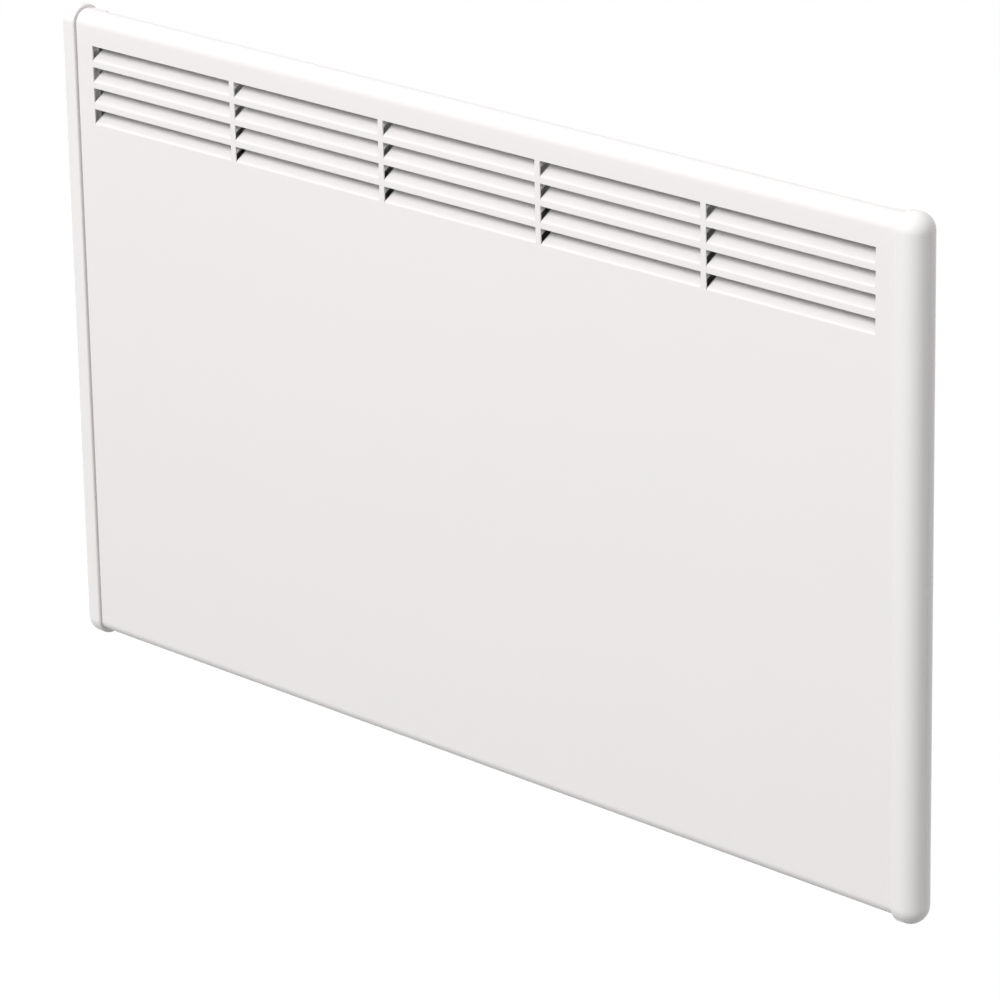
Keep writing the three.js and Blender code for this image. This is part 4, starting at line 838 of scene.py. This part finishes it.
def make_bumper():
    """The right-hand bumper. The left-hand one is its mirror image."""
    low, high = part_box("wall_bumper_right")
    base, top = housing_high.y + seat, high.y
    barb = base - 1.4 * mm
    profile = [
        (0, low.y), (1.5 * mm, low.y), (4 * mm, barb), (2.6 * mm, barb), (2.6 * mm, base),
        (6.8 * mm, base), (7 * mm, base + 0.3 * mm), (7 * mm, base + 2 * mm),
        (6.2 * mm, base + 5.6 * mm), (5.6 * mm, base + 6 * mm), (5.9 * mm, base + 6.6 * mm),
        (5.2 * mm, top - 0.6 * mm), (4.6 * mm, top), (2.6 * mm, top), (2.2 * mm, top - 0.8 * mm),
        (0, top - 0.8 * mm),
    ]
    return spun(profile, ((low.x + high.x) / 2, 0, (low.z + high.z) / 2), "y", 36)


make_pair(
    "rubber_bumper", make_bumper(), black_rubber, "rubber", "wall_bumper", soft=0.15 * mm
)

# ---- Heating element and its carriers ----
# A sheathed steel rod inside a block of thin aluminium fins on a collar. Bushes in two folded
# holders carry it, and a ceramic bead keeps each terminal stud apart from its sheath.
fins_low, fins_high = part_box("heating_element")
rod_low, rod_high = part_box("element_rod")
element_axis = (0, (rod_low.y + rod_high.y) / 2, (rod_low.z + rod_high.z) / 2)
fin_thick = 0.5 * mm
fin_pitch = 5 * mm
collar_radius = 5.5 * mm
collar_bore = 4.3 * mm
rod_radius = 4 * mm
stud_radius = 1.8 * mm
stud_length = 10 * mm

bright_aluminium = skin_material(
    "rolled_aluminium", rolled_metal, {"Metallic": 1.0},
    Colour=(0.74, 0.75, 0.76, 1), Patch_Colour=(0.7, 0.71, 0.72, 1), Patch_Scale=25,
    Line_Stretch=(12, 1400, 1400), Line_Depth=0.00001, Smoothest=0.2, Roughest=0.38,
)
black_moulding = skin_material(
    "black_moulding", Colour=(0.018, 0.018, 0.02, 1), Cloud_Colour=(0.026, 0.026, 0.028, 1),
    Cloud_Scale=70, Smoothest=0.38, Roughest=0.52, Grain_Scale=2400, Grain_Depth=0.00002,
)
pale_ceramic = skin_material(
    "pale_ceramic", Colour=(0.74, 0.7, 0.63, 1), Cloud_Colour=(0.68, 0.64, 0.57, 1),
    Cloud_Scale=80, Smoothest=0.45, Roughest=0.62, Grain_Scale=1500, Grain_Depth=0.00002,
)


def make_fins():
    length, half = fins_high.x, fin_thick / 2
    collar = [
        (collar_bore, -length), (collar_radius, -length), (collar_radius, length),
        (collar_bore, length),
    ]
    bm = spun(collar, element_axis, "x", 24, closed=True)
    count = int((2 * length - fin_thick) / fin_pitch)
    for index in range(count + 1):
        x = (index - count / 2) * fin_pitch
        put_block(bm, (x - half, fins_low.y, fins_low.z), (x + half, fins_high.y, fins_high.z))
    return bm


def make_rod():
    tip = rod_high.x
    end = tip - stud_length
    ridges = [(stud_radius * 0.86, stud_radius)[index % 2] for index in range(16)]
    outward = [(radius, end + 1.5 * mm + index * 0.5 * mm) for index, radius in enumerate(ridges)]
    half = [(rod_radius, end - 0.5 * mm), (rod_radius - 0.5 * mm, end), (stud_radius, end)]
    half += [*outward, (stud_radius * 0.8, tip), (0, tip)]
    profile = [(radius, -place) for radius, place in reversed(half)] + half
    return spun(profile, element_axis, "x", 32)


def make_bush():
    """The right-hand bush. The left-hand one is its mirror image."""
    low, high = (corner.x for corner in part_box("element_bush_right"))
    profile = [
        (4.3 * mm, low), (6.2 * mm, low), (7 * mm, low + 0.8 * mm), (7 * mm, high - 2 * mm),
        (10 * mm, high - 2 * mm), (10 * mm, high - 0.4 * mm), (9.6 * mm, high), (4.3 * mm, high),
    ]
    return spun(profile, element_axis, "x", 36, closed=True)


def make_bead():
    """The right-hand bead. The left-hand one is its mirror image."""
    low, high = (corner.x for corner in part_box("terminal_bead_right"))
    profile = [
        (2.1 * mm, low), (4.3 * mm, low), (4.6 * mm, low + 0.3 * mm), (4.6 * mm, high - 1.6 * mm),
        (4.1 * mm, high - 0.6 * mm), (2.9 * mm, high), (2.1 * mm, high),
    ]
    return spun(profile, element_axis, "x", 32, closed=True)


make_piece(
    "finned_block", make_fins(), bright_aluminium, "bright_aluminium", ["heating_element"],
    soft=0.0,
)
make_piece("sheathed_rod", make_rod(), zinc_plate, "zinc_steel", ["element_rod"], soft=0.0)
make_pair("rod_bush", make_bush(), black_moulding, "black_plastic", "element_bush")
make_pair("ceramic_bead", make_bead(), pale_ceramic, "ceramic", "terminal_bead")


def dress(material, *nodes):
    """Gives CAD nodes whose own shape is shown their finish."""
    for node in nodes:
        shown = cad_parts[node]
        shown.data.materials.clear()
        shown.data.materials.append(material)


dress(zinc_sheet, "element_holder_right", "element_holder_left")

# ---- Heat shields ----
# Two folded aluminium sheets. One keeps the warmth off the housing's back, and the other stands
# between the element and the cover and leads the warm air up to the louvres.
dress(bright_aluminium, "rear_heat_shield", "front_heat_shield")

# ---- Safety cut-out ----
# A round black thermal cut-out with two plug-in tabs, seated on the rear heat shield above the
# element.
cutout_low, cutout_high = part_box("thermal_cutout")
tab_offset = 6 * mm
tab_half_thick = 0.4 * mm
tab_half_width = 2.4 * mm
tab_corner = 0.8 * mm


def make_cutout():
    centre = (cutout_low + cutout_high) / 2
    face, back = cutout_low.y + 6 * mm, cutout_high.y
    profile = [
        (0, face), (7.4 * mm, face), (8 * mm, face + 0.6 * mm), (8 * mm, back - 1.2 * mm),
        (11 * mm, back - 1.2 * mm), (11 * mm, back), (0, back),
    ]
    bm = spun(profile, (centre.x, 0, centre.z), "y")
    for x in (centre.x - tab_offset, centre.x + tab_offset):
        add_rounded(
            bm, (x - tab_half_thick, cutout_low.y, centre.z - tab_half_width),
            (x + tab_half_thick, face + mm, centre.z + tab_half_width), 0, tab_corner, 3,
        )
    return bm


make_piece("round_cutout", make_cutout(), black_moulding, "black_plastic", ["thermal_cutout"])

# ---- Control module ----
# A white moulded box sunk in the housing's underside, with its flange outside. It holds the board,
# the switches and the projector, and its three grey buttons press up on their switches.
module_low, module_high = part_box("control_housing")
module_wall = 1.6 * mm
module_flange = 1.8 * mm
flange_end = 3 * mm
flange_edge = 1.2 * mm
controls_y = (module_low.y + module_high.y) / 2
rocker_low, rocker_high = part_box("rocker_frame")
window_low, window_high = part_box("projector_window")
sensor_low, sensor_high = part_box("room_sensor")
button_names = ("mode", "up", "down")


def middle_x(low, high):
    return (low.x + high.x) / 2


def module_holes():
    """The openings of the module's floor, as solid plugs."""
    bm = bmesh.new()
    base, top = module_low.z - mm, module_low.z + 5 * mm
    window = middle_x(window_low, window_high)
    holes = [(middle_x(*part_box(f"{name}_button")), 4.75 * mm, base, top) for name in button_names]
    holes += [
        (middle_x(sensor_low, sensor_high), 2.9 * mm, base, top),
        (window, 9.5 * mm, base, module_low.z + 1.5 * mm),
        (window, 7.6 * mm, module_low.z + mm, top),
    ]
    for x, radius, low, high in holes:
        spin(bm, plug(radius, low, high), (x, controls_y, 0), "z", 32)
    add_rounded(
        bm, (rocker_low.x + 1.5 * mm, controls_y - 6.8 * mm, base),
        (rocker_high.x - 1.5 * mm, controls_y + 6.8 * mm, top), 2, 0.5 * mm, 3,
    )
    return bm


def make_module():
    floor = module_low.z + module_flange
    box_low = Vector((module_low.x + flange_end, module_low.y + flange_edge, floor))
    box_high = Vector((module_high.x - flange_end, module_high.y - flange_edge, module_high.z))
    shell = bmesh.new()
    put_block(shell, box_low, box_high)
    room = bmesh.new()
    inner_floor = floor + module_wall - 0.8 * mm
    put_block(
        room, (box_low.x + module_wall, box_low.y + module_wall, inner_floor),
        (box_high.x - module_wall, box_high.y - module_wall, box_high.z + mm),
    )
    shell = pierce(pierce(shell, room), module_holes())
    plate = bmesh.new()
    add_rounded(plate, module_low, (module_high.x, module_high.y, floor), 2, 2.5 * mm, 6)
    round_edges(plate, edges_at(plate, z=module_low.z), 0.6 * mm, 3)
    join(shell, pierce(plate, module_holes()))
    return shell


make_piece(
    "control_box", make_module(), satin_plastic, "white_plastic", ["control_housing"],
    soft=0.15 * mm,
)


def make_ring(bm, inner, outer, low, high, centre):
    """Adds a flat-faced ring round the z axis."""
    ring = [(inner, high), (inner, low), (outer, low), (outer, high)]
    spin(bm, ring, centre, "z", 32, closed=True)


def make_button(name):
    """A dished button on a stem, with its raised mark: a ring, a plus or a minus."""
    low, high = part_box(f"{name}_button")
    x, y, face = middle_x(low, high), controls_y, low.z
    flange = module_low.z + 2.6 * mm + seat
    profile = [
        (0, face + 0.35 * mm), (2 * mm, face + 0.28 * mm), (3.4 * mm, face + 0.1 * mm),
        (3.9 * mm, face), (4.3 * mm, face + 0.15 * mm), (4.45 * mm, face + 0.5 * mm),
        (4.45 * mm, flange), (6.05 * mm, flange), (6.05 * mm, flange + mm),
        (2 * mm, flange + mm), (2 * mm, high.z), (0, high.z),
    ]
    bm = spun(profile, (x, y, 0), "z")
    mark_low, mark_high = face + 0.12 * mm, face + 0.5 * mm
    if name == "mode":
        make_ring(bm, 1.2 * mm, 1.6 * mm, mark_low, mark_high, (x, y, 0))
        return bm
    reach, half = 1.5 * mm, 0.22 * mm
    put_block(bm, (x - reach, y - half, mark_low), (x + reach, y + half, mark_high))
    if name == "up":
        upright = mark_low + 0.01 * mm
        put_block(bm, (x - half, y - reach, upright), (x + half, y + reach, mark_high))
    return bm


for name in button_names:
    make_piece(
        f"dished_button_{name}", make_button(name), grey_moulding, "grey_plastic",
        [f"{name}_button"], f"{name}_button", soft=0.06 * mm,
    )

green_board = skin_material(
    "green_solder_mask", Colour=(0.03, 0.13, 0.07, 1), Cloud_Colour=(0.045, 0.17, 0.09, 1),
    Cloud_Scale=420, Smoothest=0.22, Roughest=0.34, Grain_Scale=1200, Grain_Depth=0.00002,
)
dress(green_board, "circuit_board")
dress(black_moulding, "relay", "mode_switch", "up_switch", "down_switch")
dress(grey_moulding, "transformer")

# ---- Power rocker ----
# A black snap-in switch. Its dished rocker tilts on two pins in the frame's well, and carries the
# usual white bar and ring for on and off.
pivot = Vector((middle_x(rocker_low, rocker_high), controls_y, rocker_low.z + 2.2 * mm))
rocker_half = 8.5 * mm
rocker_side = 5.2 * mm
rocker_lean = turned(-10, "Y")
dish_turn = 12
dish_radius = 6.8 * mm


def make_rocker_frame():
    bezel_top = rocker_low.z + 1.5 * mm
    bezel = bmesh.new()
    add_rounded(bezel, rocker_low, (rocker_high.x, rocker_high.y, bezel_top), 2, 1.5 * mm, 5)
    round_edges(bezel, edges_at(bezel, z=rocker_low.z), 0.4 * mm, 3)
    body = bmesh.new()
    body_top = rocker_high.z - 6 * mm
    put_block(
        body, (rocker_low.x + 1.8 * mm, rocker_low.y + 1.5 * mm, bezel_top),
        (rocker_high.x - 1.8 * mm, rocker_high.y - 1.5 * mm, body_top),
    )
    made = bmesh.new()
    left, right = pivot.x - rocker_half - 0.8 * mm, pivot.x + rocker_half + 0.8 * mm
    near, far = pivot.y - rocker_side - 0.4 * mm, pivot.y + rocker_side + 0.4 * mm
    for part in (bezel, body):
        well = bmesh.new()
        put_block(well, (left, near, rocker_low.z - mm), (right, far, pivot.z + 3 * mm))
        join(made, pierce(part, well))
    for x in (pivot.x - 5 * mm, pivot.x + 5 * mm):
        add_rounded(
            made, (x - tab_half_thick, pivot.y - tab_half_width, body_top - mm),
            (x + tab_half_thick, pivot.y + tab_half_width, rocker_high.z), 0, tab_corner, 3,
        )
    return made


def make_rocker():
    """The rocker, dished by one wide bevel, drawn level about its pivot and then tilted."""
    bm = bmesh.new()
    half, crest = rocker_half, -0.9 * mm
    section = [
        (-half, -3.2 * mm), (0, crest), (half, -3.2 * mm), (half, -0.2 * mm),
        (half * 0.7, 1.2 * mm), (-half * 0.7, 1.2 * mm), (-half, -0.2 * mm),
    ]
    side = bm.faces.new([bm.verts.new((x, -rocker_side, z)) for x, z in section])
    swept = bmesh.ops.extrude_face_region(bm, geom=[side])
    bmesh.ops.translate(bm, verts=new_verts(swept), vec=(0, 2 * rocker_side, 0))
    round_edges(bm, edges_at(bm, x=0, z=crest), dish_radius, 10)
    pin = rocker_side + 0.7 * mm
    spin(bm, plug(1.2 * mm, -pin, pin), (0, 0, 0), "y", 24)
    bmesh.ops.transform(bm, matrix=Matrix.Translation(pivot) @ rocker_lean, verts=bm.verts)
    return bm


def make_mark(name):
    """A bar for on or a ring for off, let into the rocker's dish and just proud of it."""
    bm = bmesh.new()
    face, root = -0.13 * mm, 0.3 * mm
    if name == "on":
        put_block(bm, (-1.5 * mm, -0.25 * mm, face), (1.5 * mm, 0.25 * mm, root))
        lean, x = dish_turn, 5 * mm
    else:
        make_ring(bm, 1.1 * mm, 1.55 * mm, face, root, (0, 0, 0))
        lean, x = -dish_turn, -5 * mm
    place = Matrix.Translation((x, 0, -2.3 * mm)) @ turned(lean, "Y")
    place = Matrix.Translation(pivot) @ rocker_lean @ place
    bmesh.ops.transform(bm, matrix=place, verts=bm.verts)
    return bm


make_piece(
    "switch_frame", make_rocker_frame(), black_moulding, "black_plastic", ["rocker_frame"],
    soft=0.12 * mm,
)
make_piece(
    "dished_rocker", make_rocker(), black_moulding, "black_plastic", ["power_rocker"],
    "power_rocker",
)
for name in ("on", "off"):
    make_piece(
        f"rocker_{name}_mark", make_mark(name), satin_plastic, "white_plastic", [],
        "power_rocker", soft=0.0,
    )

# ---- Projector ----
# A black barrel over a clear window in the module's floor. It holds a lens and a dark mask in front
# of a bright lamp, which closes its top.
barrel_low, barrel_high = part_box("projector_barrel")
lens_low, lens_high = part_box("projector_lens")
mask_low, mask_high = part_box("segment_mask")
lamp_low, lamp_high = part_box("projector_lamp")
projector = (middle_x(barrel_low, barrel_high), controls_y, 0)
optic_radius = 6.8 * mm
barrel_radius = 8.5 * mm

clear_plastic = skin_material(
    "clear_plastic", shading={"Transmission Weight": 1.0, "IOR": 1.49},
    Colour=(0.93, 0.95, 0.96, 1), Cloud_Colour=(0.9, 0.93, 0.95, 1), Cloud_Scale=120,
    Smoothest=0.02, Roughest=0.06, Grain_Scale=500, Grain_Depth=0.000002,
)


def make_barrel():
    bore, ledge, low, high = 7.1 * mm, 6 * mm, barrel_low.z, barrel_high.z
    profile = [(barrel_radius, high), (barrel_radius, low), (bore, low)]
    for rise in (3 * mm, 12 * mm):
        step = low + rise
        profile += [(bore, step), (ledge, step), (ledge, step + mm), (bore, step + mm)]
    return spun([*profile, (bore, high)], projector, "z", closed=True)


def make_lens():
    low, high, edge = lens_low.z, lens_high.z, 1.6 * mm
    crown = high - low - edge
    arc = [math.pi / 2 * step / 12 for step in range(1, 12)]
    dome = [(optic_radius * math.cos(a), low + edge + crown * math.sin(a)) for a in arc]
    rim = [(0, low), (optic_radius, low), (optic_radius, low + edge)]
    return spun([*rim, *dome, (0, high)], projector, "z")


def make_lamp():
    bulb = 2.5 * mm
    plate = lamp_low.z + bulb
    arc = [math.pi / 2 * step / 8 for step in range(1, 9)]
    dome = [(bulb * math.sin(a), plate - bulb * math.cos(a)) for a in arc]
    rim = [(barrel_radius, plate), (barrel_radius, lamp_high.z), (0, lamp_high.z)]
    return spun([(0, lamp_low.z), *dome, *rim], projector, "z")


def make_window():
    low, high = window_low.z, window_high.z
    profile = [(0, low), (9 * mm, low), (9.2 * mm, low + 0.2 * mm), (9.2 * mm, high), (0, high)]
    return spun(profile, projector, "z")


mask = spun(plug(optic_radius, mask_low.z, mask_high.z), projector, "z")
make_piece("lens_barrel", make_barrel(), black_moulding, "black_plastic", ["projector_barrel"])
make_piece(
    "domed_lens", make_lens(), clear_plastic, "clear_lens", ["projector_lens"], soft=0.05 * mm
)
make_piece("dark_mask", mask, black_moulding, "black_plastic", ["segment_mask"], soft=0.1 * mm)
make_piece("lamp_plate", make_lamp(), pale_ceramic, "ceramic", ["projector_lamp"], soft=0.1 * mm)
make_piece(
    "clear_window", make_window(), clear_plastic, "clear_lens", ["projector_window"], soft=0.0
)

# ---- Room sensor ----
# A small grey probe that hangs through the module's floor into the incoming air, on the board's
# lead.
def make_sensor():
    tip, top, floor = sensor_low.z, sensor_high.z, module_low.z + 2.9 * mm
    profile = [
        (0, tip), (1.1 * mm, tip + 0.15 * mm), (2 * mm, tip + 0.7 * mm),
        (2.5 * mm, tip + 1.6 * mm), (2.6 * mm, tip + 2.4 * mm), (2.6 * mm, floor),
        (4 * mm, floor), (4 * mm, floor + 1.2 * mm), (mm, floor + 1.2 * mm), (mm, top), (0, top),
    ]
    return spun(profile, (middle_x(sensor_low, sensor_high), controls_y, 0), "z", 32)


make_piece("probe", make_sensor(), grey_moulding, "grey_plastic", ["room_sensor"], soft=0.1 * mm)

# ---- Mains connection ----
# A black gland with a ribbed tail, held in the housing's floor by its hexagon nut, and beside the
# nut a pale three-way terminal block.
gland_low, gland_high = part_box("cord_gland")
nut_low, nut_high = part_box("gland_nut")
block_low, block_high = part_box("terminal_block")
gland_middle = ((gland_low.x + gland_high.x) / 2, (gland_low.y + gland_high.y) / 2, 0)
rib_count = 4


def make_gland():
    tail, top = gland_low.z, gland_high.z
    flange = tail + 9 * mm
    outside = [(5.2 * mm, tail), (5.4 * mm, tail + 0.3 * mm)]
    for rib in range(rib_count):
        low, wide = tail + (1.2 + 1.9 * rib) * mm, (5.6 + 0.35 * rib) * mm
        neck = wide - 0.6 * mm
        outside += [(wide, low), (wide, low + 0.9 * mm)]
        outside += [(neck, low + 1.1 * mm), (neck, low + 1.7 * mm)]
    profile = [
        (4 * mm, tail), *outside, (7 * mm, flange), (9.5 * mm, flange),
        (10 * mm, flange + 0.6 * mm), (10 * mm, flange + 3 * mm), (6 * mm, flange + 3 * mm),
        (6 * mm, top - 0.4 * mm), (5.6 * mm, top), (4 * mm, top),
    ]
    return spun(profile, gland_middle, "z", closed=True)


def make_nut():
    bm = bmesh.new()
    bmesh.ops.create_circle(bm, cap_ends=True, radius=8.2 * mm, segments=6)
    hexagon = bm.faces[:]
    turn = Matrix.Rotation(math.radians(30), 3, "Z")
    bmesh.ops.rotate(bm, cent=(0, 0, 0), matrix=turn, verts=bm.verts)
    bmesh.ops.translate(bm, vec=(gland_middle[0], gland_middle[1], nut_low.z), verts=bm.verts)
    top = new_verts(bmesh.ops.extrude_face_region(bm, geom=hexagon))
    bmesh.ops.translate(bm, vec=(0, 0, nut_high.z - nut_low.z), verts=top)
    bore = spun(plug(gland_hole, nut_low.z - mm, nut_high.z + mm), gland_middle, "z", 32)
    return pierce(bm, bore)


def make_block():
    bm = bmesh.new()
    add_rounded(bm, block_low, block_high, 1, mm, 3)
    holes = bmesh.new()
    ways, width = 3, block_high.x - block_low.x
    middle = (block_low.z + block_high.z) / 2
    for way in range(ways):
        x = block_low.x + width * (way + 0.5) / ways
        spin(holes, plug(2 * mm, -mm, 6 * mm), (x, block_low.y, middle), "y", 24)
    for cut in range(1, ways):
        x = block_low.x + width * cut / ways
        put_block(
            holes, (x - 0.6 * mm, block_low.y - mm, block_low.z - mm),
            (x + 0.6 * mm, block_low.y + 4 * mm, block_high.z + mm),
        )
    return pierce(bm, holes)


make_piece(
    "ribbed_gland", make_gland(), black_moulding, "black_plastic", ["cord_gland"], soft=0.1 * mm
)
make_piece(
    "hexagon_nut", make_nut(), black_moulding, "black_plastic", ["gland_nut"], soft=0.25 * mm
)
make_piece("three_way_block", make_block(), pale_ceramic, "ceramic", ["terminal_block"])

# ---- Internal leads ----
# Silicone-sleeved leads between the terminal block, the switch, the relay, the cut-out and the
# element's two studs: brown for live and blue for neutral.
brown_sleeve = skin_material(
    "brown_silicone", Colour=(0.105, 0.05, 0.027, 1), Cloud_Colour=(0.125, 0.062, 0.034, 1),
    Cloud_Scale=60, Smoothest=0.4, Roughest=0.55, Grain_Scale=900, Grain_Depth=0.00002,
)
blue_sleeve = skin_material(
    "blue_silicone", Colour=(0.03, 0.1, 0.36, 1), Cloud_Colour=(0.04, 0.12, 0.41, 1),
    Cloud_Scale=60, Smoothest=0.4, Roughest=0.55, Grain_Scale=900, Grain_Depth=0.00002,
)
dress(brown_sleeve, "supply_lead", "switched_lead", "element_lead")
dress(blue_sleeve, "neutral_lead")

# ---- Floor and light ----
# A plain pale floor well under the heater, a wide soft lamp overhead, a weaker one in front, and an
# even pale surround. Camera, mirror and lens rays see floor and surround as plain white, and the
# floor is clear from below, so that the controls under the heater can be looked at.
floor_drop = 0.5
floor_half = 6.0
floor_shade = 0.2
floor_glow = 0.84
surround_light = 0.67
lamp_distance = 4.5

floor_bm = bmesh.new()
bmesh.ops.create_grid(floor_bm, x_segments=1, y_segments=1, size=floor_half)
bmesh.ops.translate(floor_bm, verts=floor_bm.verts, vec=(0, 0, cad_box[0][2] - floor_drop))
floor_mesh = bpy.data.meshes.new("pale_floor")
floor_bm.to_mesh(floor_mesh)
floor_bm.free()
floor = put_object("pale_floor", floor_mesh)


def grey(value):
    return (value, value, value, 1)


def seen_directly(tree):
    """A factor of 1 for camera, glossy and transmission rays and 0 for all others."""
    path = put_node(tree, "ShaderNodeLightPath")
    first = put_node(tree, "ShaderNodeMath", {"operation": "MAXIMUM"})
    second = put_node(tree, "ShaderNodeMath", {"operation": "MAXIMUM"})
    wire(
        tree,
        (path, "Is Camera Ray", first, 0),
        (path, "Is Glossy Ray", first, 1),
        (first, 0, second, 0),
        (path, "Is Transmission Ray", second, 1),
    )
    return second


floor_paint = bpy.data.materials.new("pale_floor")
floor_paint.use_nodes = True
paint = floor_paint.node_tree
paint_shader = paint.nodes["Principled BSDF"]
for label, value in {
    "Base Color": grey(floor_shade), "Roughness": 0.9, "Specular IOR Level": 0.0,
    "Emission Color": grey(1),
}.items():
    paint_shader.inputs[label].default_value = value
glow = put_node(paint, "ShaderNodeMath", {"operation": "MULTIPLY"})
glow.inputs[1].default_value = floor_glow
side = put_node(paint, "ShaderNodeNewGeometry")
clear = put_node(paint, "ShaderNodeBsdfTransparent")
shown = put_node(paint, "ShaderNodeMixShader")
wire(
    paint,
    (seen_directly(paint), 0, glow, 0),
    (glow, 0, paint_shader, "Emission Strength"),
    (side, "Backfacing", shown, 0),
    (paint_shader, 0, shown, 1),
    (clear, 0, shown, 2),
    (shown, 0, paint.nodes["Material Output"], "Surface"),
)
floor.data.materials.append(floor_paint)

surround = bpy.data.worlds.new("pale_surround")
bpy.context.scene.world = surround
surround.use_nodes = True
sky = surround.node_tree
sky.nodes.clear()
lit = put_node(sky, "ShaderNodeBackground", Color=grey(1), Strength=surround_light)
seen = put_node(sky, "ShaderNodeBackground", Color=grey(1), Strength=1.0)
choice = put_node(sky, "ShaderNodeMixShader")
wire(
    sky,
    (seen_directly(sky), 0, choice, 0),
    (lit, 0, choice, 1),
    (seen, 0, choice, 2),
    (choice, 0, put_node(sky, "ShaderNodeOutputWorld"), "Surface"),
)


def soft_lamp(name, across, power, azimuth, height):
    """A round lamp that faces the heater, at its distance, azimuth and height in degrees."""
    data = bpy.data.lights.new(name, "AREA")
    data.shape = "DISK"
    data.size = across
    data.energy = power
    aim = turned(azimuth, "Z") @ turned(90 - height, "X")
    put_object(name, data).matrix_world = aim @ Matrix.Translation((0, 0, lamp_distance))


soft_lamp("wide_key", 2.1, 131, -8, 41)
soft_lamp("low_fill", 3.2, 9, 25, 12)

bpy.context.scene.view_settings.view_transform = "Standard"
